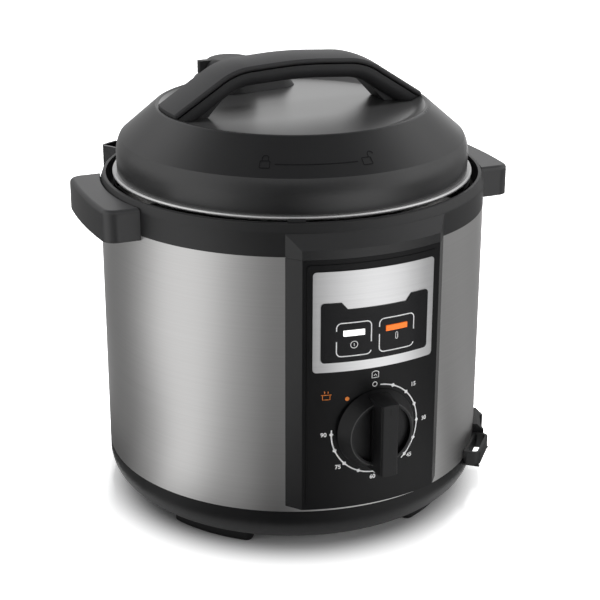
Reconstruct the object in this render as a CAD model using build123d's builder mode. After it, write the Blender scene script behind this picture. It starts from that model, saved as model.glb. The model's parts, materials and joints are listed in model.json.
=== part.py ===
import os
from math import cos, degrees, radians, sin, sqrt

from build123d import *

os.makedirs("parts", exist_ok=True)

# Fits between neighbouring pieces
seam_gap = 0.15
fit_gap = 0.25
slide_gap = 0.4
run_gap = 0.05

# Body
body_radius = 132.0
sheet = 0.8
foot_height = 11.0
base_height = 23.5
base_flare = 10.0
base_straight = 6.0
base_wall = 3.0
shell_height = 175.5
lip_height = 5.0
lip_width = 2.0
collar_height = 21.3
collar_wall = 3.0
collar_round = 0.8
collar_lean = 2.0
collar_bend = 6.0
collar_rim = 2.1
base_foot_radius = body_radius - base_flare
base_top = foot_height + base_height
base_floor = foot_height + base_wall
shell_top = base_top + shell_height
collar_top = shell_top + collar_height
collar_edge = body_radius - collar_lean
collar_mouth = collar_edge - collar_rim
lip_radius = body_radius - sheet - fit_gap

# Feet
foot_inset = 7.5
foot_width = 14.0
foot_half_angle = 16.0
foot_first_angle = 37.5
foot_round = 4.4
foot_outer = base_foot_radius - foot_inset
foot_inner = foot_outer - foot_width

# Vents in the base floor
vent_circle_radius = 52.0
slot_length = 22.0
slot_width = 4.0
slot_count = 16

# Outer pot and inner pot
can_inset = 21.0
can_corner = 12.0
can_space = 30.0
hanger_inset = 1.9
hanger_width = 3.2
hanger_rise = 8.0
hanger_thick = 1.2
ledge_drop = 2.0
ledge_bend = 1.5
mouth_bend = 2.0
pot_gap = 2.0
pot_wall = 2.0
pot_corner = 14.0
flange_inset = 2.8
flange_thick = 2.4
tooth_count = 6
tooth_half_angle = 12.0
tooth_length = 7.3
tooth_thick = 2.4
can_radius = body_radius - can_inset
hanger_radius = collar_mouth - hanger_inset
can_mouth = hanger_radius - hanger_width
flange_radius = can_mouth - flange_inset
tooth_inner = can_mouth - tooth_length
can_floor = base_floor + can_space
hanger_level = shell_top + hanger_rise
ledge_top = hanger_level - ledge_drop
rim_top = ledge_top + flange_thick
pot_radius = can_radius - sheet - pot_gap

# Heating plate and sensor
heater_inset = 16.0
heater_leg = 7.0
heater_thick = 8.0
heater_bore = 16.5
heater_rib_inner = 48.0
heater_rib_outer = 62.0
heater_rib_depth = 4.0
heater_leg_inset = 7.0
heater_leg_radius = 4.0
sensor_radius = 15.0
sensor_thick = 5.0
sensor_stem = 6.0
sensor_stem_length = 24.0
sensor_guide = 6.0
sensor_guide_wall = 2.0
spring_radius = 9.0
spring_wire = 0.55
spring_turns = 3.5
heater_radius = can_radius - heater_inset
heater_leg_circle = heater_radius - heater_leg_inset
heater_low = can_floor + sheet + heater_leg
heater_top = heater_low + heater_thick
sensor_top = heater_top - slide_gap
sensor_low = sensor_top - sensor_thick

# Screws from the base into the outer pot
screw_radius = 2.0
screw_head_radius = 3.6
screw_head = 2.2
screw_inset = 15.0
screw_grip = 5.0
post_radius = 5.5
post_wall = 1.0
screw_circle = heater_radius - screw_inset

# Pressure switch
switch_offset = 38.0
switch_length = 32.0
switch_width = 18.0
switch_button = 3.5
switch_button_height = 5.0

# Console on the front
console_proud = 6.2
console_half_angle = 20.1
bevel_half_angle = 24.5
opening_half_angle = 23.0
bevel_spread = 1.3
console_wall = 3.0
strip_height = 4.5
visor_edge = 6.0
visor_rise = 15.0
console_radius = body_radius + console_proud
console_bottom = base_top + strip_height
console_top = shell_top - seam_gap

# Front sheet, face plate, lamp window and lamps
front_sheet_half = 45.6
front_sheet_margin = 3.2
front_sheet_thick = 0.4
plate_half = 42.0
plate_drop = 7.5
plate_tall = 66.8
plate_thick = 0.4
plate_corner = 2.5
window_half = 37.0
window_rise = 6.5
window_tall = 39.7
window_thick = 0.4
notch_top = 24.0
notch_foot = 20.0
notch_depth = 4.7
lamp_rise = 17.4
lamp_tall = 3.6
white_lamp_middle = -15.85
white_lamp_width = 13.7
orange_lamp_middle = 13.15
orange_lamp_width = 15.1
lamp_length = 7.0
lamp_proud = 0.4
front_sheet_radius = console_radius + seam_gap
plate_radius = front_sheet_radius + front_sheet_thick + seam_gap
window_radius = plate_radius + plate_thick + seam_gap
lamp_radius = window_radius + window_thick + lamp_proud
plate_high = console_top - plate_drop
plate_low = plate_high - plate_tall
window_low = plate_low + window_rise
window_high = window_low + window_tall
lamp_low = window_low + lamp_rise
lamps = [(white_lamp_middle, white_lamp_width), (orange_lamp_middle, orange_lamp_width)]

# Lamp board
board_width = 66.0
board_tall = 24.0
board_thick = 1.6
board_corner = 2.0
board_post_inset = 5.0
board_post_radius = 2.5
board_lamp_radius = 2.0
board_lamp_height = 2.0
board_gap = 2.2
board_front = lamp_radius - lamp_length - board_lamp_height - board_gap
board_level = lamp_low + board_tall / 4

# Timer and knob
knob_drop = 42.35
knob_radius = 27.0
knob_disc = 9.5
knob_rim = 6.9
knob_scoop = 3.5
knob_bar = 14.0
knob_bar_height = 11.5
knob_bar_inset = 1.2
knob_edge = 1.5
knob_taper_angle = 3.0
knob_flank_angle = 28.0
pad_radius = 25.0
pad_proud = 0.9
pad_depth = 6.7
timer_radius = 24.0
timer_depth = 16.5
timer_wall = 3.0
bush_radius = 5.0
shaft_radius = 3.0
shaft_grip = 14.0
knob_height = plate_low - knob_drop
pad_front = console_radius + pad_proud
pad_back = pad_front - pad_depth
knob_back = pad_front + slide_gap

# Power inlet
inlet_angle = 62.7
inlet_rise = 2.75
inlet_width = 28.0
inlet_tall = 18.5
inlet_proud = 7.4
inlet_chamfer = 5.0
inlet_neck_width = 25.0
inlet_neck_tall = 15.5
inlet_neck_depth = 8.0
inlet_recess_width = 22.0
inlet_recess_tall = 13.0
inlet_recess_depth = 12.0
inlet_recess_corner = 4.0
inlet_pin_pitch = 8.0
inlet_pin_radius = 1.5
inlet_pin_length = 8.0
inlet_height = base_top + inlet_rise

# Ladle holder
ladle_gap = 1.06
ladle_length = 33.0
ladle_depth = 11.0
ladle_wall = 2.0
ladle_corner = 4.5
ladle_drop = 3.0
ladle_tall = 9.5
ladle_rib_drop = 1.0
ladle_low = base_top - ladle_drop
ladle_apart = ladle_length / 2 + ladle_gap + inlet_width / 2
ladle_angle = inlet_angle - degrees(ladle_apart / body_radius)

# Condensation cup and its bracket
cup_angle = -148.6
cup_width = 55.0
cup_depth = 21.8
cup_rise = 18.2
cup_tall = 64.0
cup_wall = 1.8
cup_corner = 4.0
cup_scoop = 23.0
cup_scoop_depth = 12.0
cup_scoop_corner = 5.0
rail_drop = 4.0
rail_tall = 28.0
rail_plate_width = 24.0
rail_plate_thick = 2.2
rail_stem_width = 8.0
rail_stem_depth = 2.0
rail_head_width = 14.0
rail_head_thick = 2.0
pocket_wall = 1.6
cup_face = body_radius + cup_depth
cup_top = shell_top + cup_rise
cup_low = cup_top - cup_tall
rail_top = shell_top - rail_drop
rail_low = rail_top - rail_tall

# Side handles
grip_depth = 17.3
grip_half = 46.0
grip_bow = 3.0
grip_corner = 9.0
grip_drop = 3.0
grip_tall = 21.2
grip_edge = 3.0
grip_wall = 3.0
grip_roof = 5.0
grip_reach = body_radius + grip_depth
grip_root = body_radius - grip_depth
grip_low = shell_top - grip_drop

# Tab inside the collar that shows where the lid goes
tab_angle = -21.4
tab_half_angle = 2.6
tab_length = 3.7
tab_rise = 1.0

# Lid plate, lugs, sealing ring and trim ring
lug_clear = 2.6
lug_thick = 2.4
lug_half_angle = 12.0
lug_play = 1.5
tooth_clear = 1.2
tooth_play = 1.5
lid_sheet = 1.5
lid_corner = 8.0
lid_rise = 12.3
trim_clear = 3.5
trim_thick = 2.8
trim_gap = 4.6
trim_round = 1.3
seal_width = 5.0
seal_tall = 10.5
seal_step = 1.7
seal_groove = 0.7
seal_groove_depth = 2.0
rack_wall = 1.2
rack_lip = 1.3
rack_rise = 2.4
lid_radius = tooth_inner - tooth_play
lug_radius = can_mouth - sheet - lug_play
trim_radius = collar_mouth - trim_gap
lug_low = rim_top + lug_clear
tooth_low = lug_low + lug_thick + tooth_clear
can_top = tooth_low + tooth_thick
trim_low = can_top + trim_clear
cover_low = trim_low + trim_thick
lid_plate_top = cover_low + lid_rise
lid_plate_low = lid_plate_top - lid_sheet
seal_low = rim_top + slide_gap
seal_outer = lid_radius - lid_sheet - slide_gap
seal_inner = seal_outer - seal_width
seal_middle = (seal_inner + seal_step + seal_outer) / 2
rack_outer = seal_inner - slide_gap
rack_lip_low = seal_low + rack_rise

# Lid cover
cover_skirt_inset = 3.1
cover_skirt_lean = 0.3
cover_skirt = 10.3
cover_crease_inset = 2.5
cover_crease_rise = 22.6
cover_rim_inset = 27.4
cover_rim_rise = 44.1
cover_rim_round = 3.2
cover_recess = 3.6
cover_recess_width = 9.0
cover_recess_round = 8.0
cover_wall = 2.4
cover_post_circle = 60.0
cover_post_radius = 5.0
cover_skirt_radius = trim_radius - cover_skirt_inset
cover_rim_radius = cover_skirt_radius - cover_rim_inset
cover_rim = cover_low + cover_rim_rise
cover_top = cover_rim - cover_recess

# Valve, float and the raised island round them
valve_x = -20.4
valve_y = 66.0
float_x = 14.0
float_y = 66.0
island_left = 20.0
island_right = 14.0
island_tail = 20.0
island_tail_x = -33.0
island_tail_y = 66.0
island_height = 11.1
island_wall = 2.4
island_round = 1.6
island_lean = 7.5
valve_radius = 19.0
valve_height = 11.0
valve_round = 7.0
valve_tab_reach = 24.0
valve_tab_width = 5.6
valve_tab_drop = 0.6
valve_tab_height = 8.7
vent_radius = 5.0
vent_bore = 2.0
vent_flange = 9.0
vent_flange_thick = 3.0
vent_tail = 6.0
vent_inside = 7.0
filter_radius = 14.0
filter_depth = 9.0
filter_wall = 1.2
filter_slot = 2.0
float_radius = 2.4
float_travel = 4.0
float_head = 4.2
float_head_thick = 2.0
gasket_radius = 5.0
gasket_thick = 1.5
float_sink = 1.0
valve_place = (valve_x, valve_y)
float_place = (float_x, float_y)
island_top = cover_top + island_height
valve_low = island_top + slide_gap

# Lid handle
handle_rise = 31.7
handle_knee = 46.5
handle_knee_drop = 3.0
handle_foot_inset = 7.3
handle_half = 17.5
handle_low_half = 11.0
handle_depth = 10.2
handle_low_side = 3.0
handle_side = 3.6
handle_crown = 4.8
handle_edge = 1.6
handle_flare = 7.5
handle_bend = 42.0
handle_seam = 0.5
handle_trim_inset = 1.5
handle_screw_inset = 24.0
handle_screw_length = 10.0
handle_foot = cover_rim_radius - handle_foot_inset
handle_trim = cover_rim_radius - handle_trim_inset
handle_screw_place = cover_rim_radius - handle_screw_inset
handle_top = cover_top + handle_rise


# Points, arcs and planes by azimuth, counted from the front towards the right
def polar(radius, azimuth):
    return (radius * sin(radians(azimuth)), -radius * cos(radians(azimuth)))


def arc(radius, start, end):
    return ThreePointArc(polar(radius, start), polar(radius, (start + end) / 2), polar(radius, end))


def side_plane(azimuth, radius, height):
    turn = radians(azimuth)
    x, y = polar(radius, azimuth)
    return Plane(origin=(x, y, height), x_dir=(cos(turn), sin(turn), 0), z_dir=(sin(turn), -cos(turn), 0))


# Sector of a ring, drawn in the open sketch
def sector(inner, outer, start, end):
    with BuildLine() as outline:
        far = arc(outer, start, end)
        near = arc(inner, start, end)
        Line(far @ 0, near @ 0)
        Line(far @ 1, near @ 1)
    return make_face(outline.edges())


# Ring drawn in the open sketch
def ring(inner, outer):
    Circle(outer)
    Circle(inner, mode=Mode.SUBTRACT)


# Turned section of straight lines, drawn in the open sketch
def section(*points):
    with BuildLine() as outline:
        Polyline(*points, close=True)
    return make_face(outline.edges())


# Plan of the console, drawn in the open sketch
def console_plan(inset, back):
    trim = degrees(bevel_spread * inset / console_radius)
    side = body_radius + seam_gap
    with BuildLine() as outline:
        front = arc(console_radius - inset, trim - console_half_angle, console_half_angle - trim)
        rear = arc(back, trim - bevel_half_angle, bevel_half_angle - trim)
        Polyline(front @ 0, polar(side, trim - bevel_half_angle), rear @ 0)
        Polyline(front @ 1, polar(side, bevel_half_angle - trim), rear @ 1)
    return make_face(outline.edges())


# Angle that an arc length spans on the console
def turn_of(length):
    return degrees(length / console_radius)


# Slots for the lamps, drawn in the open sketch
def lamp_slots():
    for middle, width in lamps:
        half = width / 2 + fit_gap
        sector(body_radius, lamp_radius, turn_of(middle - half), turn_of(middle + half))


def save(piece, name):
    piece.part.label = name
    export_step(piece.part, f"parts/{name}.step")


# Outline of the base, used for the base itself and to trim what hugs it
base_bend = base_top - base_straight
with BuildPart() as base_form:
    with BuildSketch(Plane.XZ):
        with BuildLine():
            TangentArc((body_radius, base_bend), (base_foot_radius, foot_height), tangent=(0, -1))
            Polyline(
                (base_foot_radius, foot_height),
                (0, foot_height),
                (0, base_top),
                (body_radius, base_top),
                (body_radius, base_bend),
            )
        make_face()
    revolve(axis=Axis.Z)

# Base bowl with screw posts, vents and a lip inside the shell
inlet_plane = side_plane(inlet_angle, body_radius - inlet_neck_depth, inlet_height)
with BuildPart() as base:
    add(base_form.part)
    inner = body_radius - base_wall
    with BuildSketch(Plane.XZ):
        with BuildLine():
            TangentArc((inner, base_bend), (base_foot_radius - base_wall, base_floor), tangent=(0, -1))
            Polyline(
                (base_foot_radius - base_wall, base_floor),
                (0, base_floor),
                (0, base_top),
                (inner, base_top),
                (inner, base_bend),
            )
        make_face()
    revolve(axis=Axis.Z, mode=Mode.SUBTRACT)
    with BuildSketch(Plane.XY.offset(base_bend)):
        ring(inner - lip_width, lip_radius)
    extrude(amount=base_straight + lip_height)
    with BuildSketch(Plane.XY.offset(foot_height)):
        with PolarLocations(screw_circle, 4):
            Circle(post_radius)
    extrude(amount=can_floor - foot_height)
    with BuildSketch(Plane.XY.offset(foot_height)):
        with PolarLocations(screw_circle, 4):
            Circle(screw_radius + fit_gap)
    extrude(amount=can_floor - foot_height, mode=Mode.SUBTRACT)
    with BuildSketch(Plane.XY.offset(foot_height)):
        with PolarLocations(screw_circle, 4):
            Circle(screw_head_radius + fit_gap)
    extrude(amount=screw_head + seam_gap, mode=Mode.SUBTRACT)
    with BuildSketch(Plane.XY.offset(foot_height)):
        with PolarLocations(vent_circle_radius, slot_count, start_angle=180 / slot_count):
            SlotOverall(slot_length, slot_width)
    extrude(amount=base_wall, mode=Mode.SUBTRACT)
    with BuildSketch(inlet_plane):
        Rectangle(inlet_neck_width + 2 * fit_gap, inlet_neck_tall + 2 * fit_gap)
    extrude(amount=2 * inlet_neck_depth, both=True, mode=Mode.SUBTRACT)
save(base, "base")

# Four arc-shaped feet
for number in range(4):
    middle = foot_first_angle + 90 * number
    with BuildPart() as foot:
        with BuildSketch():
            sector(foot_inner, foot_outer, middle - foot_half_angle, middle + foot_half_angle)
            fillet(vertices(), foot_round)
        extrude(amount=foot_height)
        fillet(faces().sort_by(Axis.Z)[0].edges(), foot_round / 2)
    save(foot, f"foot_{number + 1}")

# Screws that hold the base to the outer pot
with BuildPart() as base_screws:
    with BuildSketch(Plane.XY.offset(foot_height + seam_gap)):
        with PolarLocations(screw_circle, 4):
            Circle(screw_head_radius)
    extrude(amount=screw_head)
    with BuildSketch(Plane.XY.offset(foot_height + seam_gap)):
        with PolarLocations(screw_circle, 4):
            Circle(screw_radius)
    extrude(amount=can_floor + screw_grip - foot_height - seam_gap)
save(base_screws, "base_screws")

# Steel shell, open at the front behind the console
with BuildPart() as shell:
    with BuildSketch(Plane.XY.offset(base_top)):
        ring(body_radius - sheet, body_radius)
    extrude(amount=shell_height)
    with BuildSketch(Plane.XY.offset(console_bottom)):
        sector(body_radius - 2 * sheet, body_radius + sheet, -opening_half_angle, opening_half_angle)
    extrude(amount=shell_height, mode=Mode.SUBTRACT)
    with BuildSketch(inlet_plane):
        Rectangle(inlet_neck_width + 2 * fit_gap, inlet_neck_tall + 2 * fit_gap)
    extrude(amount=2 * inlet_neck_depth, mode=Mode.SUBTRACT)
save(shell, "shell")

# Collar with the visor over the console
channel_top = hanger_level - collar_wall
collar_bore = can_mouth + fit_gap
with BuildPart() as collar:
    with BuildSketch(Plane.XZ):
        with BuildLine():
            FilletPolyline(
                (lip_radius, shell_top),
                (body_radius, shell_top),
                (body_radius, collar_top - collar_bend),
                (collar_edge, collar_top),
                (collar_mouth, collar_top),
                (hanger_radius + fit_gap, hanger_level),
                (collar_bore, hanger_level),
                (collar_bore, shell_top),
                (collar_bore + collar_wall, shell_top),
                (collar_bore + collar_wall, channel_top),
                (lip_radius - lip_width, channel_top),
                (lip_radius - lip_width, shell_top - lip_height),
                (lip_radius, shell_top - lip_height),
                radius=[0, 0, collar_bend, collar_round, 0, 0, 0, 0, 0, 0, 0, 0, 0],
                close=True,
            )
        make_face()
    revolve(axis=Axis.Z)
    with BuildSketch(Plane.XY.offset(shell_top)):
        console_plan(0, lip_radius)
    extrude(amount=visor_rise)
    with BuildSketch(Plane.XZ):
        section(
            (console_radius, shell_top + visor_edge),
            (body_radius, shell_top + visor_rise),
            (console_radius + visor_rise, shell_top + visor_rise),
            (console_radius + visor_rise, shell_top + visor_edge),
        )
    revolve(axis=Axis.Z, mode=Mode.SUBTRACT)
    tab_low = hanger_level + 2 * hanger_thick
    with BuildSketch(Plane.XY.offset(tab_low)):
        sector(
            collar_mouth - tab_length,
            collar_mouth + tab_rise,
            tab_angle - tab_half_angle,
            tab_angle + tab_half_angle,
        )
    extrude(amount=collar_top + tab_rise - tab_low)
save(collar, "collar")

# Side handles, hollow from below for the fingers
with BuildPart() as grip_form:
    with BuildSketch(Plane.XY.offset(grip_low)):
        with BuildLine():
            ThreePointArc(
                (grip_reach - grip_bow, -grip_half), (grip_reach, 0), (grip_reach - grip_bow, grip_half)
            )
            Polyline(
                (grip_reach - grip_bow, grip_half),
                (grip_root, grip_half),
                (grip_root, -grip_half),
                (grip_reach - grip_bow, -grip_half),
            )
        make_face()
        fillet(vertices().group_by(Axis.X)[-1], grip_corner)
    extrude(amount=grip_tall)
    fillet(faces().sort_by(Axis.Z)[-1].edges(), grip_edge)
    with BuildSketch(Plane.XY.offset(grip_low)):
        with BuildLine():
            pocket_x = grip_reach - grip_wall
            pocket_y = grip_half - grip_wall
            ThreePointArc((pocket_x - grip_bow, -pocket_y), (pocket_x, 0), (pocket_x - grip_bow, pocket_y))
            Polyline(
                (pocket_x - grip_bow, pocket_y),
                (grip_root, pocket_y),
                (grip_root, -pocket_y),
                (pocket_x - grip_bow, -pocket_y),
            )
        make_face()
        fillet(vertices().group_by(Axis.X)[-1], grip_corner - grip_wall)
        Circle(body_radius + grip_wall, mode=Mode.SUBTRACT)
    extrude(amount=grip_tall - grip_roof, mode=Mode.SUBTRACT)
    with BuildSketch(Plane.XY.offset(grip_low)):
        Circle(body_radius + seam_gap)
    extrude(amount=grip_tall, mode=Mode.SUBTRACT)

with BuildPart() as side_handle_right:
    add(grip_form.part)
save(side_handle_right, "side_handle_right")

with BuildPart() as side_handle_left:
    add(mirror(grip_form.part, about=Plane.YZ))
save(side_handle_left, "side_handle_left")

# Console tray with the knob pad, lamp slots and board posts
with BuildPart() as console:
    with BuildSketch(Plane.XY.offset(console_bottom)):
        console_plan(0, body_radius - console_wall)
        Circle(body_radius + seam_gap, mode=Mode.SUBTRACT)
    extrude(amount=console_top - console_bottom)
    with BuildSketch(Plane.XY.offset(console_bottom + console_wall)):
        console_plan(console_wall, body_radius - console_wall)
    extrude(amount=console_top - console_bottom - 2 * console_wall, mode=Mode.SUBTRACT)
    with BuildSketch(Plane.XZ.offset(pad_back)):
        with Locations((0, knob_height)):
            Circle(pad_radius)
    extrude(amount=pad_front - pad_back)
    with BuildSketch(Plane.XZ.offset(pad_back)):
        with Locations((0, knob_height)):
            Circle(bush_radius + fit_gap)
    extrude(amount=pad_front - pad_back, mode=Mode.SUBTRACT)
    with BuildSketch(Plane.XY.offset(lamp_low - fit_gap)):
        lamp_slots()
    extrude(amount=lamp_tall + 2 * fit_gap, mode=Mode.SUBTRACT)
    post_x = board_width / 2 - board_post_inset
    post_z = board_level + board_tall / 2 - board_post_inset
    post_end = sqrt((console_radius - console_wall / 2) ** 2 - post_x**2)
    with BuildSketch(Plane.XZ.offset(board_front)):
        with Locations((-post_x, post_z), (post_x, post_z)):
            Circle(board_post_radius)
    extrude(amount=post_end - board_front)
save(console, "console")

# Thin black sheet over the front of the console
with BuildPart() as front_sheet:
    with BuildSketch(Plane.XY.offset(console_bottom + front_sheet_margin)):
        sector(
            front_sheet_radius,
            front_sheet_radius + front_sheet_thick,
            turn_of(-front_sheet_half),
            turn_of(front_sheet_half),
        )
    extrude(amount=console_top - console_bottom - 2 * front_sheet_margin)
    fillet(edges().filter_by(lambda edge: edge.length < 2 * front_sheet_thick), plate_corner)
    with BuildSketch(Plane.XZ.offset(body_radius)):
        with Locations((0, knob_height)):
            Circle(pad_radius + fit_gap)
    extrude(amount=pad_front - body_radius, mode=Mode.SUBTRACT)
    with BuildSketch(Plane.XY.offset(lamp_low - fit_gap)):
        lamp_slots()
    extrude(amount=lamp_tall + 2 * fit_gap, mode=Mode.SUBTRACT)
save(front_sheet, "front_sheet")

# Silver face plate with the window cut out of it
with BuildPart() as face_plate:
    with BuildSketch(Plane.XY.offset(plate_low)):
        sector(plate_radius, plate_radius + plate_thick, turn_of(-plate_half), turn_of(plate_half))
    extrude(amount=plate_high - plate_low)
    fillet(edges().filter_by(lambda edge: edge.length < 2 * plate_thick), plate_corner)
    with BuildSketch(Plane.XY.offset(lamp_low - fit_gap)):
        lamp_slots()
    extrude(amount=lamp_tall + 2 * fit_gap, mode=Mode.SUBTRACT)
save(face_plate, "face_plate")

# Black lamp window with a notch in its upper edge
with BuildPart() as lamp_window:
    with BuildSketch(Plane.XY.offset(window_low)):
        sector(window_radius, window_radius + window_thick, turn_of(-window_half), turn_of(window_half))
    extrude(amount=window_high - window_low)
    fillet(edges().filter_by(lambda edge: edge.length < 2 * window_thick), plate_corner)
    with BuildSketch(Plane.XZ.offset(body_radius)):
        section(
            (-notch_top, window_high),
            (-notch_foot, window_high - notch_depth),
            (notch_foot, window_high - notch_depth),
            (notch_top, window_high),
        )
    extrude(amount=lamp_radius - body_radius, mode=Mode.SUBTRACT)
    with BuildSketch(Plane.XY.offset(lamp_low - fit_gap)):
        lamp_slots()
    extrude(amount=lamp_tall + 2 * fit_gap, mode=Mode.SUBTRACT)
save(lamp_window, "lamp_window")

# Lamp lenses through the console, plate and window
for name, (middle, width) in zip(("lamp_lens_white", "lamp_lens_orange"), lamps):
    with BuildPart() as lens:
        with BuildSketch(Plane.XY.offset(lamp_low)):
            start = turn_of(middle - width / 2)
            end = turn_of(middle + width / 2)
            sector(lamp_radius - lamp_length, lamp_radius, start, end)
        extrude(amount=lamp_tall)
    save(lens, name)

# Lamp board on the console posts, with one lamp behind each lens
with BuildPart() as lamp_board:
    with BuildSketch(Plane.XZ.offset(board_front - board_thick)):
        with Locations((0, board_level)):
            RectangleRounded(board_width, board_tall, board_corner)
    extrude(amount=board_thick)
    with BuildSketch(Plane.XZ.offset(board_front)):
        with Locations(*((middle, lamp_low + lamp_tall / 2) for middle, width in lamps)):
            Circle(board_lamp_radius)
    extrude(amount=board_lamp_height)
save(lamp_board, "lamp_board")

# Timer body with its bush through the console pad
with BuildPart() as timer_body:
    with BuildSketch(Plane.XZ.offset(pad_back - timer_depth)):
        with Locations((0, knob_height)):
            Circle(timer_radius)
    extrude(amount=timer_depth)
    with BuildSketch(Plane.XZ.offset(pad_back)):
        with Locations((0, knob_height)):
            Circle(bush_radius)
    extrude(amount=pad_front - pad_back)
    with BuildSketch(Plane.XZ.offset(pad_back - timer_depth + timer_wall)):
        with Locations((0, knob_height)):
            Circle(shaft_radius + run_gap)
    extrude(amount=timer_depth + pad_front - pad_back, mode=Mode.SUBTRACT)
save(timer_body, "timer_body")

# Timer shaft from inside the timer into the knob
shaft_back = pad_back - timer_depth + timer_wall + slide_gap
with BuildPart() as timer_shaft:
    with BuildSketch(Plane.XZ.offset(shaft_back)):
        with Locations((0, knob_height)):
            Circle(shaft_radius)
    extrude(amount=knob_back + shaft_grip - shaft_back)
save(timer_shaft, "timer_shaft")

# Timer knob, a disc with a grip bar across it
with BuildPart() as timer_knob:
    with BuildSketch(Plane.XZ.offset(knob_back)):
        with Locations((0, knob_height)):
            Circle(knob_radius)
    extrude(amount=knob_disc, taper=knob_flank_angle)
    with BuildSketch(Plane.XZ.offset(knob_back + knob_disc - knob_scoop)):
        with Locations((0, knob_height)):
            Circle(knob_radius - knob_rim)
            Rectangle(knob_bar, 2 * knob_radius, mode=Mode.SUBTRACT)
    extrude(amount=knob_scoop, mode=Mode.SUBTRACT)
    with BuildSketch(Plane.XZ.offset(knob_back)):
        with Locations((0, knob_height)):
            Circle(knob_radius - knob_bar_inset)
            Rectangle(knob_bar, 2 * knob_radius, mode=Mode.INTERSECT)
    extrude(amount=knob_disc + knob_bar_height, taper=knob_taper_angle)
    fillet(faces().sort_by(Axis.Y)[0].edges().filter_by(GeomType.LINE), knob_edge)
    with BuildSketch(Plane.XZ.offset(knob_back)):
        with Locations((0, knob_height)):
            Circle(shaft_radius + run_gap)
    extrude(amount=shaft_grip + seam_gap, mode=Mode.SUBTRACT)
save(timer_knob, "timer_knob")

# Outer pot that hangs in the collar, with bayonet teeth round its mouth
with BuildPart() as outer_pot:
    with BuildSketch(Plane.XZ):
        with BuildLine():
            FilletPolyline(
                (0, can_floor),
                (can_radius, can_floor),
                (can_radius, ledge_top - sheet),
                (can_mouth, ledge_top - sheet),
                (can_mouth, can_top),
                radius=[can_corner, ledge_bend, mouth_bend],
            )
            offset(amount=sheet, side=Side.LEFT)
        make_face()
    revolve(axis=Axis.Z)
    with BuildSketch(Plane.XY.offset(hanger_level)):
        ring(can_mouth - sheet / 2, hanger_radius)
    extrude(amount=hanger_thick)
    with BuildSketch(Plane.XY.offset(tooth_low)):
        for number in range(tooth_count):
            middle = number * 360 / tooth_count
            sector(tooth_inner, can_mouth - sheet / 2, middle - tooth_half_angle, middle + tooth_half_angle)
    extrude(amount=tooth_thick)
    with BuildSketch(Plane.XY.offset(can_floor)):
        with PolarLocations(screw_circle, 4):
            Circle(post_radius - post_wall)
    extrude(amount=screw_grip + sheet)
    with BuildSketch(Plane.XY.offset(can_floor)):
        with PolarLocations(screw_circle, 4):
            Circle(screw_radius + seam_gap)
    extrude(amount=screw_grip + seam_gap, mode=Mode.SUBTRACT)
    with BuildSketch(Plane.XY.offset(can_floor - sensor_guide)):
        Circle(sensor_stem + run_gap + sensor_guide_wall)
    extrude(amount=sensor_guide + sheet)
    with BuildSketch(Plane.XY.offset(can_floor - sensor_guide)):
        Circle(sensor_stem + run_gap)
    extrude(amount=sensor_guide + sheet, mode=Mode.SUBTRACT)
save(outer_pot, "outer_pot")

# Inner pot that rests on the heating plate
with BuildPart() as inner_pot:
    with BuildSketch(Plane.XZ):
        with BuildLine():
            FilletPolyline(
                (0, heater_top), (pot_radius, heater_top), (pot_radius, rim_top), radius=[pot_corner]
            )
            offset(amount=pot_wall, side=Side.LEFT)
        make_face()
    revolve(axis=Axis.Z)
    with BuildSketch(Plane.XY.offset(ledge_top)):
        ring(pot_radius - pot_wall / 2, flange_radius)
    extrude(amount=flange_thick)
save(inner_pot, "inner_pot")

# Heating plate on three legs, with the rib that holds its heating tube
with BuildPart() as heating_plate:
    with BuildSketch(Plane.XY.offset(heater_low)):
        ring(heater_bore, heater_radius)
    extrude(amount=heater_thick)
    with BuildSketch(Plane.XY.offset(heater_low - heater_rib_depth)):
        ring(heater_rib_inner, heater_rib_outer)
    extrude(amount=heater_rib_depth)
    with BuildSketch(Plane.XY.offset(can_floor + sheet)):
        with PolarLocations(heater_leg_circle, 3, start_angle=45):
            Circle(heater_leg_radius)
    extrude(amount=heater_leg)
save(heating_plate, "heating_plate")

# Sensor that is pushed up against the pot by a spring
with BuildPart() as sensor_cap:
    with BuildSketch(Plane.XY.offset(sensor_low)):
        Circle(sensor_radius)
    extrude(amount=sensor_thick)
    with BuildSketch(Plane.XY.offset(sensor_low - sensor_stem_length)):
        Circle(sensor_stem)
    extrude(amount=sensor_stem_length)
save(sensor_cap, "sensor_cap")

# Spring round the sensor stem
spring_low = can_floor + sheet + spring_wire + seam_gap
spring_high = sensor_low - spring_wire - seam_gap
spring_length = spring_high - spring_low
with BuildPart() as sensor_spring:
    with BuildLine() as coil:
        Helix(spring_length / spring_turns, spring_length, spring_radius, (0, 0, spring_low))
    with BuildSketch(Plane(origin=coil.line @ 0, z_dir=coil.line % 0)):
        Circle(spring_wire)
    sweep(path=coil.wires()[0])
save(sensor_spring, "sensor_spring")

# Pressure switch between the base floor and the outer pot
with BuildPart() as pressure_switch:
    with BuildSketch(Plane.XY.offset(base_floor)):
        with Locations((switch_offset, 0)):
            Rectangle(switch_length, switch_width)
    extrude(amount=can_space - switch_button_height)
    with BuildSketch(Plane.XY.offset(can_floor - switch_button_height)):
        with Locations((switch_offset, 0)):
            Circle(switch_button)
    extrude(amount=switch_button_height)
save(pressure_switch, "pressure_switch")

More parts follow.
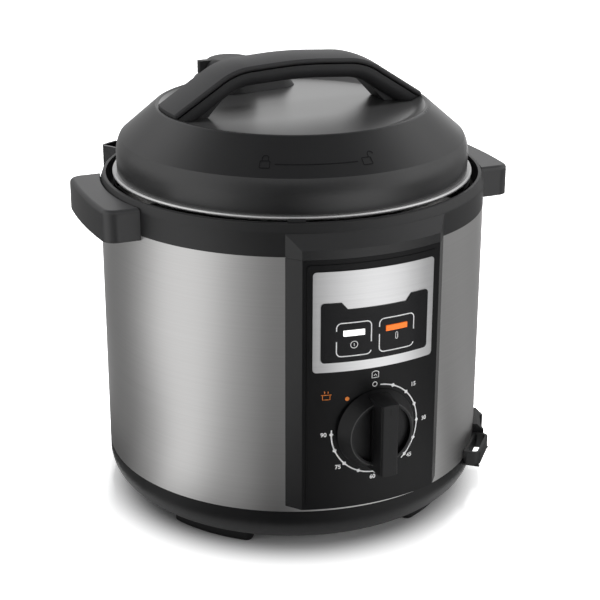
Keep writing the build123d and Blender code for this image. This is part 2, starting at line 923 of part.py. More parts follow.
# Power inlet with a hood, open outwards
with BuildPart() as inlet_housing:
    with BuildSketch(inlet_plane):
        Rectangle(inlet_width, inlet_tall)
    extrude(amount=inlet_neck_depth + inlet_proud)
    outer_face = faces().sort_by(Axis((0, 0, 0), inlet_plane.z_dir))[-1]
    chamfer(outer_face.edges().sort_by(Axis.Z)[-1], inlet_chamfer)
    with BuildSketch():
        Circle(body_radius + seam_gap)
    extrude(amount=shell_top, mode=Mode.SUBTRACT)
    with BuildSketch(inlet_plane):
        Rectangle(inlet_neck_width, inlet_neck_tall)
    extrude(amount=inlet_neck_depth + inlet_proud / 2)
    recess_plane = inlet_plane.offset(inlet_neck_depth + inlet_proud - inlet_recess_depth)
    with BuildSketch(recess_plane):
        RectangleRounded(inlet_recess_width, inlet_recess_tall, inlet_recess_corner)
    extrude(amount=inlet_recess_depth, mode=Mode.SUBTRACT)
save(inlet_housing, "inlet_housing")

# Pins in the power inlet
with BuildPart() as inlet_pins:
    with BuildSketch(recess_plane):
        with GridLocations(inlet_pin_pitch, 0, 3, 1):
            Circle(inlet_pin_radius)
    extrude(amount=inlet_pin_length)
save(inlet_pins, "inlet_pins")

# Ladle holder, a sleeve open above and below on two ribs
ladle_plane = side_plane(ladle_angle, body_radius, ladle_low)
ladle_top_plane = Plane(origin=ladle_plane.origin, x_dir=ladle_plane.x_dir, z_dir=(0, 0, 1))
with BuildPart() as ladle_holder:
    with BuildSketch(ladle_top_plane):
        with Locations((0, -ladle_depth / 2 + ladle_wall / 2)):
            RectangleRounded(ladle_length, ladle_depth + ladle_wall, ladle_corner)
    extrude(amount=ladle_tall)
    rib_span = ladle_length - ladle_wall
    with BuildSketch(ladle_top_plane):
        with GridLocations(rib_span, 0, 2, 1):
            Rectangle(ladle_wall, 2 * ladle_depth)
    extrude(amount=-ladle_rib_drop)
    add(base_form.part.scale(1 + seam_gap / base_foot_radius), mode=Mode.SUBTRACT)
    with BuildSketch(ladle_top_plane):
        with Locations((0, -ladle_depth / 2)):
            RectangleRounded(ladle_length - 2 * ladle_wall, ladle_depth - 2 * ladle_wall, ladle_wall)
    extrude(amount=ladle_tall, mode=Mode.SUBTRACT)
    with BuildSketch():
        Circle(body_radius + seam_gap)
    extrude(amount=shell_top, mode=Mode.SUBTRACT)
save(ladle_holder, "ladle_holder")

# Bracket for the cup, a plate with an upright rail of T shape
plate_face = body_radius + rail_plate_thick
stem_face = plate_face + rail_stem_depth
head_face = stem_face + rail_head_thick


def rail_profile(low, width, inner_face, outer_face):
    origin = side_plane(cup_angle, (inner_face + outer_face) / 2, low)
    with BuildSketch(Plane(origin=origin.origin, x_dir=origin.x_dir, z_dir=(0, 0, 1))) as profile:
        Rectangle(width, outer_face - inner_face)
    return profile.sketch


with BuildPart() as cup_bracket:
    add(rail_profile(rail_low, rail_plate_width, body_radius - rail_plate_thick, plate_face))
    add(rail_profile(rail_low, rail_stem_width, plate_face, stem_face))
    add(rail_profile(rail_low, rail_head_width, stem_face, head_face))
    extrude(amount=rail_top - rail_low)
    with BuildSketch():
        Circle(body_radius + seam_gap)
    extrude(amount=shell_top, mode=Mode.SUBTRACT)
save(cup_bracket, "cup_bracket")

# Condensation cup that hangs on the rail and lifts off upwards
cup_back = plate_face + slide_gap
pocket_back = stem_face - slide_gap
pocket_front = head_face + slide_gap
with BuildPart() as condensation_cup:
    add(rail_profile(cup_low, cup_width, cup_back, cup_face))
    extrude(amount=cup_tall)
    outer_edges = edges().filter_by(Axis.Z).sort_by(Axis((0, 0, 0), side_plane(cup_angle, 0, 0).z_dir))
    fillet(outer_edges[-2:], cup_corner)
    add(rail_profile(cup_low + cup_wall, cup_width - 2 * cup_wall, cup_back + cup_wall, cup_face - cup_wall))
    extrude(amount=cup_tall, mode=Mode.SUBTRACT)
    pocket_width = rail_head_width + 2 * slide_gap
    add(rail_profile(cup_low, pocket_width + 2 * pocket_wall, cup_back, pocket_front + pocket_wall))
    extrude(amount=rail_top + slide_gap + pocket_wall - cup_low)
    add(rail_profile(cup_low, rail_stem_width + 2 * slide_gap, cup_back, pocket_front))
    add(rail_profile(cup_low, pocket_width, pocket_back, pocket_front))
    extrude(amount=rail_top + slide_gap - cup_low, mode=Mode.SUBTRACT)
    with BuildSketch(side_plane(cup_angle, cup_face - 2 * cup_wall, cup_top)):
        RectangleRounded(cup_scoop, 2 * cup_scoop_depth, cup_scoop_corner)
    extrude(amount=4 * cup_wall, mode=Mode.SUBTRACT)
save(condensation_cup, "condensation_cup")

# Outer line of the lid cover, drawn in the open line from the skirt to the axis
def cover_line():
    bend = (cover_skirt_radius + cover_skirt_lean, cover_low + cover_skirt)
    crease = (cover_skirt_radius - cover_crease_inset, cover_low + cover_crease_rise)
    skirt = Line((cover_skirt_radius, cover_low), bend)
    TangentArc(bend, crease, tangent=skirt % 1)
    top = FilletPolyline(
        crease,
        (cover_rim_radius, cover_rim),
        (cover_rim_radius - cover_recess_width, cover_top),
        (0, cover_top),
        radius=[cover_rim_round, cover_recess_round],
    )
    return skirt, top


# Form of the lid cover, used to seat what stands on it
with BuildPart() as cover_form:
    with BuildSketch(Plane.XZ):
        with BuildLine():
            skirt, top = cover_line()
            Polyline(top @ 1, (0, cover_low), skirt @ 0)
        make_face()
    revolve(axis=Axis.Z)


# Oblong plan of the island under the valve
def island_plan(inset):
    with BuildSketch(mode=Mode.PRIVATE) as plan:
        with Locations(valve_place):
            Circle(island_left - inset)
        with Locations(float_place):
            Circle(island_right - inset)
        with Locations((island_tail_x, island_tail_y)):
            Circle(island_tail - inset)
        make_hull()
    return plan.sketch


# Holes for the vent pipe and the float
def pin_holes():
    with BuildSketch(mode=Mode.PRIVATE) as holes:
        with Locations(valve_place):
            Circle(vent_radius + slide_gap)
        with Locations(float_place):
            Circle(float_radius + slide_gap)
    return holes.sketch


# Lid cover with the posts down to the lid plate
with BuildPart() as lid_cover:
    with BuildSketch(Plane.XZ):
        with BuildLine():
            cover_line()
            offset(amount=cover_wall, side=Side.LEFT)
        make_face()
    revolve(axis=Axis.Z)
    with BuildSketch(Plane.XY.offset(lid_plate_top)):
        with PolarLocations(cover_post_circle, 3, start_angle=-90):
            Circle(cover_post_radius)
    extrude(amount=cover_top - cover_wall / 2 - lid_plate_top)
    with BuildSketch(Plane.XY.offset(lid_plate_top)):
        with PolarLocations(cover_post_circle, 3, start_angle=-90):
            Circle(screw_radius + seam_gap)
    extrude(amount=handle_screw_length, mode=Mode.SUBTRACT)
    with BuildSketch(Plane.XY.offset(cover_top - 2 * cover_wall)):
        add(pin_holes())
        with Locations((-handle_screw_place, 0), (handle_screw_place, 0)):
            Circle(screw_radius + seam_gap)
    extrude(amount=3 * cover_wall, mode=Mode.SUBTRACT)
save(lid_cover, "lid_cover")

# Hollow island on the lid cover, round the vent pipe and the float
with BuildPart() as valve_island:
    with BuildSketch(Plane.XY.offset(cover_top + seam_gap)):
        add(island_plan(0))
    with BuildSketch(Plane.XY.offset(island_top)):
        add(island_plan(island_lean))
    loft(ruled=True)
    fillet(edges().group_by(Axis.Z)[-1], island_round)
    with BuildSketch(Plane.XY.offset(cover_top + seam_gap)):
        add(island_plan(island_wall))
    with BuildSketch(Plane.XY.offset(island_top - island_wall)):
        add(island_plan(island_lean + island_wall))
    loft(ruled=True, mode=Mode.SUBTRACT)
    with BuildSketch(Plane.XY.offset(cover_top)):
        add(pin_holes())
    extrude(amount=2 * island_height, mode=Mode.SUBTRACT)
    add(cover_form.part.moved(Location((0, 0, seam_gap))), mode=Mode.SUBTRACT)
save(valve_island, "valve_island")

# Polished trim ring between the cover and the mouth of the pot
with BuildPart() as lid_trim_ring:
    with BuildSketch(Plane.XY.offset(trim_low)):
        ring(lid_radius + seam_gap, trim_radius)
    extrude(amount=trim_thick)
    fillet(edges().filter_by(GeomType.CIRCLE).sort_by(SortBy.RADIUS)[-2:], trim_round)
save(lid_trim_ring, "lid_trim_ring")

# Pressed lid plate with bayonet lugs
with BuildPart() as lid_plate:
    with BuildSketch(Plane.XZ):
        with BuildLine():
            FilletPolyline(
                (0, lid_plate_top), (lid_radius, lid_plate_top), (lid_radius, lug_low), radius=[lid_corner]
            )
            offset(amount=lid_sheet, side=Side.RIGHT)
        make_face()
    revolve(axis=Axis.Z)
    with BuildSketch(Plane.XY.offset(lug_low)):
        for number in range(tooth_count):
            middle = (number + 0.5) * 360 / tooth_count
            sector(lid_radius - lid_sheet / 2, lug_radius, middle - lug_half_angle, middle + lug_half_angle)
    extrude(amount=lug_thick)
    with BuildSketch(Plane.XY.offset(lid_plate_low)):
        with Locations(valve_place):
            Circle(vent_radius + seam_gap)
        with Locations(float_place):
            Circle(float_radius + run_gap)
        with PolarLocations(cover_post_circle, 3, start_angle=-90):
            Circle(screw_radius + seam_gap)
    extrude(amount=lid_sheet, mode=Mode.SUBTRACT)
save(lid_plate, "lid_plate")

# Screws from the lid plate into the cover posts
with BuildPart() as lid_screws:
    with BuildSketch(Plane.XY.offset(lid_plate_low - screw_head)):
        with PolarLocations(cover_post_circle, 3, start_angle=-90):
            Circle(screw_head_radius)
    extrude(amount=screw_head)
    with BuildSketch(Plane.XY.offset(lid_plate_low - screw_head)):
        with PolarLocations(cover_post_circle, 3, start_angle=-90):
            Circle(screw_radius)
    extrude(amount=screw_head + lid_sheet + handle_screw_length - seam_gap)
save(lid_screws, "lid_screws")

# Rack that holds the sealing ring in the lid
with BuildPart() as ring_rack:
    with BuildSketch(Plane.XZ):
        section(
            (rack_outer - rack_wall, rack_lip_low),
            (rack_outer - rack_wall, lid_plate_low - seam_gap),
            (rack_outer, lid_plate_low - seam_gap),
            (rack_outer, rack_lip_low + rack_wall),
            (rack_outer + rack_lip, rack_lip_low + rack_wall),
            (rack_outer + rack_lip, rack_lip_low),
        )
    revolve(axis=Axis.Z)
save(ring_rack, "ring_rack")

# Sealing ring with a step over the rack and a groove between its lips
seal_step_level = rack_lip_low + rack_wall + slide_gap
with BuildPart() as sealing_ring:
    with BuildSketch(Plane.XZ):
        section(
            (seal_outer, seal_low),
            (seal_outer, seal_low + seal_tall),
            (seal_inner, seal_low + seal_tall),
            (seal_inner, seal_step_level),
            (seal_inner + seal_step, seal_step_level),
            (seal_inner + seal_step, seal_low),
            (seal_middle - seal_groove, seal_low),
            (seal_middle, seal_low + seal_groove_depth),
            (seal_middle + seal_groove, seal_low),
        )
    revolve(axis=Axis.Z)
save(sealing_ring, "sealing_ring")

# Vent pipe from under the lid plate up into the valve
vent_top = valve_low + vent_inside
with BuildPart() as vent_pipe:
    with BuildSketch(Plane.XY.offset(lid_plate_low - vent_tail)):
        with Locations(valve_place):
            Circle(vent_radius)
    extrude(amount=vent_top - lid_plate_low + vent_tail)
    with BuildSketch(Plane.XY.offset(lid_plate_top)):
        with Locations(valve_place):
            Circle(vent_flange)
    extrude(amount=vent_flange_thick)
    with BuildSketch(Plane.XY.offset(lid_plate_low - vent_tail)):
        with Locations(valve_place):
            Circle(vent_bore)
    extrude(amount=vent_top - lid_plate_low + vent_tail, mode=Mode.SUBTRACT)
save(vent_pipe, "vent_pipe")

# Filter cap under the lid plate, with slots round its wall
with BuildPart() as filter_cap:
    with BuildSketch(Plane.XY.offset(lid_plate_low - filter_depth)):
        with Locations(valve_place):
            Circle(filter_radius)
    extrude(amount=filter_depth)
    with BuildSketch(Plane.XY.offset(lid_plate_low - filter_depth + filter_wall)):
        with Locations(valve_place):
            Circle(filter_radius - filter_wall)
    extrude(amount=filter_depth, mode=Mode.SUBTRACT)
    with BuildSketch(Plane.XY.offset(lid_plate_low - filter_depth + 2 * filter_wall)):
        with Locations(valve_place):
            with PolarLocations(0, 6):
                Rectangle(3 * filter_radius, filter_slot)
    extrude(amount=filter_depth - 4 * filter_wall, mode=Mode.SUBTRACT)
save(filter_cap, "filter_cap")

# Pressure valve with a tab, seated over the vent pipe
with BuildPart() as pressure_valve:
    with BuildSketch(Plane.XY.offset(valve_low)):
        with Locations(valve_place):
            Circle(valve_radius)
    extrude(amount=valve_height)
    fillet(edges().group_by(Axis.Z)[-1], valve_round)
    with BuildSketch(Plane.XY.offset(valve_low + valve_height - valve_tab_drop - valve_tab_height)):
        with Locations((valve_place[0] - valve_tab_reach / 2, valve_place[1])):
            RectangleRounded(valve_tab_reach, valve_tab_width, valve_tab_width / 3)
    extrude(amount=valve_tab_height)
    with BuildSketch(Plane.XY.offset(valve_low)):
        with Locations(valve_place):
            Circle(vent_radius + run_gap)
    extrude(amount=vent_inside + slide_gap, mode=Mode.SUBTRACT)
save(pressure_valve, "pressure_valve")

# Float pin that rises when the pot is under pressure
gasket_top = lid_plate_low - float_travel - slide_gap
float_low = gasket_top - gasket_thick
with BuildPart() as float_pin:
    with BuildSketch(Plane.XY.offset(float_low - float_head_thick)):
        with Locations(float_place):
            Circle(float_head)
    extrude(amount=float_head_thick)
    with BuildSketch(Plane.XY.offset(float_low)):
        with Locations(float_place):
            Circle(float_radius)
    extrude(amount=island_top - float_sink - float_low)
save(float_pin, "float_pin")

# Soft gasket on the float pin
with BuildPart() as float_gasket:
    with BuildSketch(Plane.XY.offset(float_low)):
        with Locations(float_place):
            Circle(gasket_radius)
            Circle(float_radius + run_gap, mode=Mode.SUBTRACT)
    extrude(amount=gasket_thick)
save(float_gasket, "float_gasket")

# Path of the seam between the two halves of the lid handle
knee_level = handle_top - handle_knee_drop
leg_slope = (knee_level - cover_rim) / (handle_foot - handle_knee)
leg_end = handle_trim + handle_depth
leg_level = knee_level - leg_slope * (leg_end - handle_knee)
leg_inner_level = knee_level - handle_depth * sqrt(1 + leg_slope**2)
leg_inner = handle_knee + (leg_inner_level - cover_top) / leg_slope
with BuildLine(Plane.XZ) as handle_path:
    FilletPolyline(
        (-leg_end, leg_level),
        (-handle_knee, knee_level),
        (0, handle_top),
        (handle_knee, knee_level),
        (leg_end, leg_level),
        radius=[handle_bend, 6 * handle_bend, handle_bend],
    )
path_wire = handle_path.wires()[0]
path_plane = Plane(origin=path_wire @ 0, x_dir=(0, 1, 0), z_dir=path_wire % 0)

# Lower half of the handle, rounded below, with feet that spread under the arch
with BuildPart() as handle_lower:
    with BuildSketch(path_plane):
        with BuildLine():
            Polyline(
                (-handle_half, -handle_low_side),
                (-handle_half, -handle_seam / 2),
                (handle_half, -handle_seam / 2),
                (handle_half, -handle_low_side),
            )
            TangentArc((handle_half, -handle_low_side), (handle_low_half, -handle_depth), tangent=(0, -1))
            TangentArc((-handle_half, -handle_low_side), (-handle_low_half, -handle_depth), tangent=(0, -1))
            Line((-handle_low_half, -handle_depth), (handle_low_half, -handle_depth))
        make_face()
    sweep(path=path_wire)
    with BuildSketch(Plane.XZ):
        for side in (-1, 1):
            section(
                (side * handle_knee, leg_inner_level + handle_low_side),
                (side * (leg_inner + handle_low_side), cover_top),
                (side * (leg_inner - handle_flare), cover_top),
            )
    extrude(amount=handle_low_half, both=True)
    with BuildSketch(Plane.XY.offset(cover_low)):
        Circle(handle_trim)
    extrude(amount=handle_top - cover_low + handle_depth, mode=Mode.INTERSECT)
    add(cover_form.part.moved(Location((0, 0, seam_gap))), mode=Mode.SUBTRACT)
    with BuildSketch(Plane.XY.offset(cover_low)):
        with Locations((-handle_screw_place, 0), (handle_screw_place, 0)):
            Circle(screw_radius + seam_gap)
    extrude(amount=cover_top + handle_screw_length - cover_low, mode=Mode.SUBTRACT)
save(handle_lower, "handle_lower")

# Upper half of the handle, a crowned strip
with BuildPart() as handle_upper:
    with BuildSketch(path_plane):
        with BuildLine():
            Polyline(
                (-handle_half, handle_side),
                (-handle_half, handle_seam / 2),
                (handle_half, handle_seam / 2),
                (handle_half, handle_side),
            )
            ThreePointArc((-handle_half, handle_side), (0, handle_crown), (handle_half, handle_side))
        make_face()
        fillet(vertices().group_by(Axis.Z)[-1], handle_edge)
    sweep(path=path_wire)
    with BuildSketch(Plane.XY.offset(cover_low)):
        Circle(handle_trim)
    extrude(amount=handle_top - cover_low + handle_depth, mode=Mode.INTERSECT)
    add(cover_form.part.moved(Location((0, 0, seam_gap))), mode=Mode.SUBTRACT)
save(handle_upper, "handle_upper")

# Screws from under the cover into the handle feet
screw_seat = cover_top - cover_wall
with BuildPart() as handle_screws:
    with BuildSketch(Plane.XY.offset(screw_seat - screw_head)):
        with Locations((-handle_screw_place, 0), (handle_screw_place, 0)):
            Circle(screw_head_radius)
    extrude(amount=screw_head)
    with BuildSketch(Plane.XY.offset(screw_seat - screw_head)):
        with Locations((-handle_screw_place, 0), (handle_screw_place, 0)):
            Circle(screw_radius)
    extrude(amount=screw_head + cover_wall + handle_screw_length - seam_gap)
save(handle_screws, "handle_screws")
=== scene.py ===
import json
import math

import bmesh
import bpy
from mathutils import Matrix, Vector


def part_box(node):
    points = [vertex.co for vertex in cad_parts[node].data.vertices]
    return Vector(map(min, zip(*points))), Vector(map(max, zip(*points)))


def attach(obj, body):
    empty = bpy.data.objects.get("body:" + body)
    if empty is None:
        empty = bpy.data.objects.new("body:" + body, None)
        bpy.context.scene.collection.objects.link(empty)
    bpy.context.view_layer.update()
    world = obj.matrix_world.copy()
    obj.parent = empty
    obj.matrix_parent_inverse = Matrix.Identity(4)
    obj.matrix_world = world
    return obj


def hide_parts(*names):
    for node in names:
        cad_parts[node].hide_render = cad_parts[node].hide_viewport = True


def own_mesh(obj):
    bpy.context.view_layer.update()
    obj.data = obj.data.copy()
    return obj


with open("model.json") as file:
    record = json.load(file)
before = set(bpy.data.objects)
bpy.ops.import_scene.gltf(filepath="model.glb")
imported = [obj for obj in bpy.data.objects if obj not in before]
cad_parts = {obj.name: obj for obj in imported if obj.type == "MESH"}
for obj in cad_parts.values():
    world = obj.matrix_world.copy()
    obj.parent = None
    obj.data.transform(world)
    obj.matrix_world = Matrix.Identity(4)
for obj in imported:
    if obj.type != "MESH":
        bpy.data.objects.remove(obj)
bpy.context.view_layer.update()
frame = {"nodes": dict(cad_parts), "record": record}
record = frame["record"]
bodyOf = {node: body for body, nodes in record["behaviour"]["bodies"].items() for node in nodes}
slotOf = {row["node"]: row["material_slot"] for row in record["subparts"]}
joints = {joint["name"]: joint for joint in record["behaviour"]["joints"]}
mm = 0.001
print("frame loaded:", len(frame["nodes"]), "nodes")


# Helpers for node trees, objects and places

def addNode(tree, kind, **settings):
    node = tree.nodes.new(kind)
    for label, value in settings.items():
        setattr(node, label, value)
    return node


def addMath(tree, operation, first, second=None, third=None):
    node = addNode(tree, "ShaderNodeMath", operation=operation)
    for socket, value in zip(node.inputs, (first, second, third)):
        if value is None:
            continue
        if isinstance(value, (int, float)):
            socket.default_value = value
        else:
            tree.links.new(value, socket)
    return node.outputs[0]


def addNoise(tree, vector, scale, detail=2.0, rough=0.5):
    node = addNode(tree, "ShaderNodeTexNoise")
    node.inputs["Detail"].default_value = detail
    node.inputs["Roughness"].default_value = rough
    tree.links.new(vector, node.inputs["Vector"])
    if isinstance(scale, (int, float)):
        node.inputs["Scale"].default_value = scale
    else:
        tree.links.new(scale, node.inputs["Scale"])
    return node.outputs["Fac"]


def addInputs(tree, rows):
    for label, kind, value in rows:
        socket = tree.interface.new_socket(label, in_out="INPUT", socket_type="NodeSocket" + kind)
        if value is not None:
            socket.default_value = value


def splitPlace(tree):
    # x, y and z of the object's own coordinates
    parts = addNode(tree, "ShaderNodeSeparateXYZ")
    tree.links.new(addNode(tree, "ShaderNodeTexCoord").outputs["Object"], parts.inputs[0])
    return parts.outputs


def fade(tree, value, start, end, low, high):
    node = addNode(tree, "ShaderNodeMapRange", interpolation_type="SMOOTHSTEP")
    for label, number in (("From Min", start), ("From Max", end), ("To Min", low), ("To Max", high)):
        node.inputs[label].default_value = number
    tree.links.new(value, node.inputs["Value"])
    return node.outputs["Result"]


def addObject(name, data):
    obj = bpy.data.objects.new(name, data)
    bpy.context.collection.objects.link(obj)
    return obj


def frozenMesh(obj):
    # a plain mesh of the object with its modifiers applied
    return bpy.data.meshes.new_from_object(obj.evaluated_get(bpy.context.evaluated_depsgraph_get()))


def aroundAxis(radius, turn, up):
    # the turn counts from the front, to the right
    return (radius * math.sin(turn), -radius * math.cos(turn), up)


# Shader node groups: values that change over a surface, shared by several finishes

def startGroup(name, inputs, outputs):
    tree = bpy.data.node_groups.new(name, "ShaderNodeTree")
    addInputs(tree, inputs)
    for label in outputs:
        tree.interface.new_socket(label, in_out="OUTPUT", socket_type="NodeSocketFloat")
    return tree, tree.nodes.new("NodeGroupInput"), tree.nodes.new("NodeGroupOutput")


def closeGroup(tree, given, result, label, main, share, other, height):
    # two noises blended by share, which also vary the roughness about its middle
    blend = addMath(tree, "MULTIPLY_ADD", main, share, addMath(tree, "MULTIPLY", other, 1 - share))
    offset = addMath(tree, "SUBTRACT", blend, 0.5)
    rough = addMath(tree, "MULTIPLY_ADD", offset, given.outputs["Spread"], given.outputs["Roughness"])
    for name, socket in ((label, blend), ("Roughness", rough), ("Height", height)):
        tree.links.new(socket, result.inputs[name])
    return tree


# Scale, detail and roughness of each noise; the scale of the fine grain is the group's input
mouldNoise = {"fine": (3.0, 0.6), "cloud": (14.0, 4.0, 0.6), "cloudShare": 0.6}


def makeMouldGrain():
    tree, given, result = startGroup("mouldGrain", [
        ("Vector", "Vector", None), ("Grain Scale", "Float", 2200.0),
        ("Roughness", "Float", 0.4), ("Spread", "Float", 0.1),
    ], ["Shade", "Roughness", "Height"])
    fine = addNoise(tree, given.outputs["Vector"], given.outputs["Grain Scale"], *mouldNoise["fine"])
    cloud = addNoise(tree, given.outputs["Vector"], *mouldNoise["cloud"])
    return closeGroup(tree, given, result, "Shade", cloud, mouldNoise["cloudShare"], fine, fine)


brushNoise = {"fine": (1.0, 3.0, 0.65), "broad": (0.13, 2.0, 0.5), "fineShare": 0.65, "ramp": (0.3, 0.7)}


def makeBrushLines():
    tree, given, result = startGroup("brushLines", [
        ("Vector", "Vector", None), ("Along", "Float", 6.0), ("Across", "Float", 2600.0),
        ("Roughness", "Float", 0.3), ("Spread", "Float", 0.16),
    ], ["Streak", "Roughness", "Height"])
    scale = addNode(tree, "ShaderNodeCombineXYZ")
    for label, axis in (("Along", "X"), ("Along", "Y"), ("Across", "Z")):
        tree.links.new(given.outputs[label], scale.inputs[axis])
    stretch = addNode(tree, "ShaderNodeVectorMath", operation="MULTIPLY")
    tree.links.new(given.outputs["Vector"], stretch.inputs[0])
    tree.links.new(scale.outputs[0], stretch.inputs[1])
    fine = addNoise(tree, stretch.outputs[0], *brushNoise["fine"])
    broad = addNoise(tree, stretch.outputs[0], *brushNoise["broad"])
    return closeGroup(tree, given, result, "Streak", fine, brushNoise["fineShare"], broad, fine)


mouldGrain = makeMouldGrain()
brushLines = makeBrushLines()
bumpDepth = {"mould": 0.0002, "brush": 0.0001}
lampLens = {"rough": 0.25, "cloudScale": 260.0, "dim": 0.9}


def startMaterial(name, **sockets):
    mat = bpy.data.materials.new(name)
    mat.use_nodes = True
    tree = mat.node_tree
    shader = tree.nodes["Principled BSDF"]
    for label, value in sockets.items():
        shader.inputs[label.replace("_", " ")].default_value = value
    where = addNode(tree, "ShaderNodeTexCoord").outputs["Object"]
    return mat, tree, shader, where


def mixColours(tree, factor, dark, light, ends=(0.25, 0.75)):
    ramp = addNode(tree, "ShaderNodeValToRGB")
    for element, place, colour in zip(ramp.color_ramp.elements, ends, (dark, light)):
        element.position = place
        element.color = (*colour, 1)
    tree.links.new(factor, ramp.inputs["Fac"])
    return ramp.outputs["Color"]


def addBump(tree, shader, height, strength, distance):
    bump = addNode(tree, "ShaderNodeBump")
    bump.inputs["Strength"].default_value = strength
    bump.inputs["Distance"].default_value = distance
    tree.links.new(height, bump.inputs["Height"])
    tree.links.new(bump.outputs["Normal"], shader.inputs["Normal"])


def placeGroup(tree, shader, where, nodeTree, values):
    group = addNode(tree, "ShaderNodeGroup", node_tree=nodeTree)
    for label, value in values.items():
        group.inputs[label].default_value = value
    tree.links.new(where, group.inputs["Vector"])
    tree.links.new(group.outputs["Roughness"], shader.inputs["Roughness"])
    return group


def mouldedFinish(name, dark, light, roughness=0.4, spread=0.12, grain=2200.0, bump=0.12, **sockets):
    mat, tree, shader, where = startMaterial(name, **sockets)
    values = {"Grain Scale": grain, "Roughness": roughness, "Spread": spread}
    group = placeGroup(tree, shader, where, mouldGrain, values)
    tree.links.new(mixColours(tree, group.outputs["Shade"], dark, light), shader.inputs["Base Color"])
    addBump(tree, shader, group.outputs["Height"], bump, bumpDepth["mould"])
    return mat


def brushedFinish(
    name, dark, light, roughness=0.3, spread=0.16, along=6.0, across=2600.0, bump=0.06, **sockets
):
    mat, tree, shader, where = startMaterial(name, Metallic=1.0, **sockets)
    values = {"Along": along, "Across": across, "Roughness": roughness, "Spread": spread}
    group = placeGroup(tree, shader, where, brushLines, values)
    colour = mixColours(tree, group.outputs["Streak"], dark, light, brushNoise["ramp"])
    tree.links.new(colour, shader.inputs["Base Color"])
    addBump(tree, shader, group.outputs["Height"], bump, bumpDepth["brush"])
    return mat


def lampFinish(name, colour, glow):
    mat, tree, shader, where = startMaterial(name, Roughness=lampLens["rough"], Emission_Strength=glow)
    soft = addNoise(tree, where, lampLens["cloudScale"])
    tint = mixColours(tree, soft, [lampLens["dim"] * part for part in colour], colour)
    tree.links.new(tint, shader.inputs["Base Color"])
    tree.links.new(tint, shader.inputs["Emission Color"])
    return mat


# One finish for each material slot, then those of single pieces
finishes = {
    "black_plastic": mouldedFinish(
        "satinBlack", (0.006, 0.006, 0.0065), (0.010, 0.010, 0.0105), roughness=0.42,
    ),
    "brushed_steel": brushedFinish(
        "brushedSteel", (0.565, 0.56, 0.555), (0.635, 0.63, 0.625),
        roughness=0.32, spread=0.1, along=9.0, across=5200.0, bump=0.03, Anisotropic=0.55,
    ),
    "plain_steel": brushedFinish(
        "turnedSteel", (0.45, 0.45, 0.45), (0.6, 0.6, 0.6), roughness=0.28, along=40.0,
    ),
    "polished_steel": brushedFinish(
        "polishedSteel", (0.72, 0.72, 0.72), (0.78, 0.78, 0.78), roughness=0.46, spread=0.06, bump=0.02,
    ),
    "cast_aluminium": brushedFinish(
        "castAluminium", (0.42, 0.42, 0.43), (0.62, 0.62, 0.63),
        roughness=0.45, spread=0.2, along=900.0, across=900.0, bump=0.2,
    ),
    "coated_pot": mouldedFinish(
        "coatedPot", (0.05, 0.05, 0.052), (0.12, 0.12, 0.125),
        roughness=0.38, spread=0.1, grain=1400.0, bump=0.2, Metallic=0.35,
    ),
    "silver_plate": brushedFinish(
        "silverPlate", (0.64, 0.64, 0.645), (0.74, 0.74, 0.745),
        roughness=0.3, spread=0.1, along=30.0, across=5200.0, bump=0.03, Anisotropic=0.5,
    ),
    "window_black": mouldedFinish(
        "glossBlack", (0.008, 0.008, 0.009), (0.012, 0.012, 0.013),
        roughness=0.16, spread=0.05, grain=500.0, bump=0.01, Specular_IOR_Level=0.16,
    ),
    "lens_white": lampFinish("whiteLamp", (0.95, 0.95, 0.93), glow=1.2),
    "lens_orange": lampFinish("orangeLamp", (0.95, 0.18, 0.008), glow=0.5),
    "board_green": mouldedFinish("boardGreen", (0.02, 0.12, 0.05), (0.03, 0.18, 0.08), roughness=0.4),
    "inner_plastic": mouldedFinish("innerPlastic", (0.55, 0.54, 0.5), (0.65, 0.64, 0.6), roughness=0.5),
    "pin_brass": brushedFinish(
        "pinBrass", (0.55, 0.40, 0.16), (0.72, 0.55, 0.25), roughness=0.3, along=60.0,
    ),
    "smoke_plastic": mouldedFinish(
        "glossSmoke", (0.014, 0.014, 0.015), (0.022, 0.022, 0.024),
        roughness=0.2, spread=0.06, grain=900.0, bump=0.03,
    ),
    "silicone": mouldedFinish(
        "silicone", (0.5, 0.5, 0.48), (0.6, 0.6, 0.57), roughness=0.55, spread=0.1, grain=800.0, bump=0.1,
    ),
}
lidBlack = mouldedFinish(
    "lidBlack", (0.005, 0.005, 0.0055), (0.009, 0.009, 0.0095),
    roughness=0.42, spread=0.1, grain=2200.0, bump=0.08, Coat_Roughness=0.28, Coat_IOR=1.75,
)
panelBlack = mouldedFinish(
    "panelBlack", (0.0045, 0.0045, 0.005), (0.007, 0.007, 0.0075),
    roughness=0.38, spread=0.08, grain=2600.0, bump=0.06, Specular_IOR_Level=0.17,
)
gripBlack = mouldedFinish(
    "gripBlack", (0.016, 0.016, 0.017), (0.026, 0.026, 0.027),
    roughness=0.37, grain=2600.0, Specular_IOR_Level=0.62,
)
handleBlack = mouldedFinish(
    "handleBlack", (0.016, 0.016, 0.017), (0.026, 0.026, 0.027), roughness=0.5, grain=2600.0, bump=0.16,
)
whiteInk = mouldedFinish(
    "whiteInk", (0.84, 0.84, 0.84), (0.92, 0.92, 0.92), roughness=0.5, spread=0.1, grain=3000.0, bump=0.05,
)
orangeInk = mouldedFinish(
    "orangeInk", (0.78, 0.2, 0.02), (0.88, 0.26, 0.03), roughness=0.5, spread=0.1, grain=3000.0, bump=0.05,
)
# Steel painted near black for the outer pot: painted shade, so that the gap between the collar and the lid
# reads dark
darkSteel = brushedFinish(
    "darkSteel", (0.02, 0.02, 0.02), (0.035, 0.035, 0.035), roughness=0.5, spread=0.1, along=9.0, bump=0.03,
)
knobBlack = mouldedFinish(
    "knobBlack", (0.005, 0.005, 0.0055), (0.008, 0.008, 0.0085), roughness=0.42, Specular_IOR_Level=0.25,
)
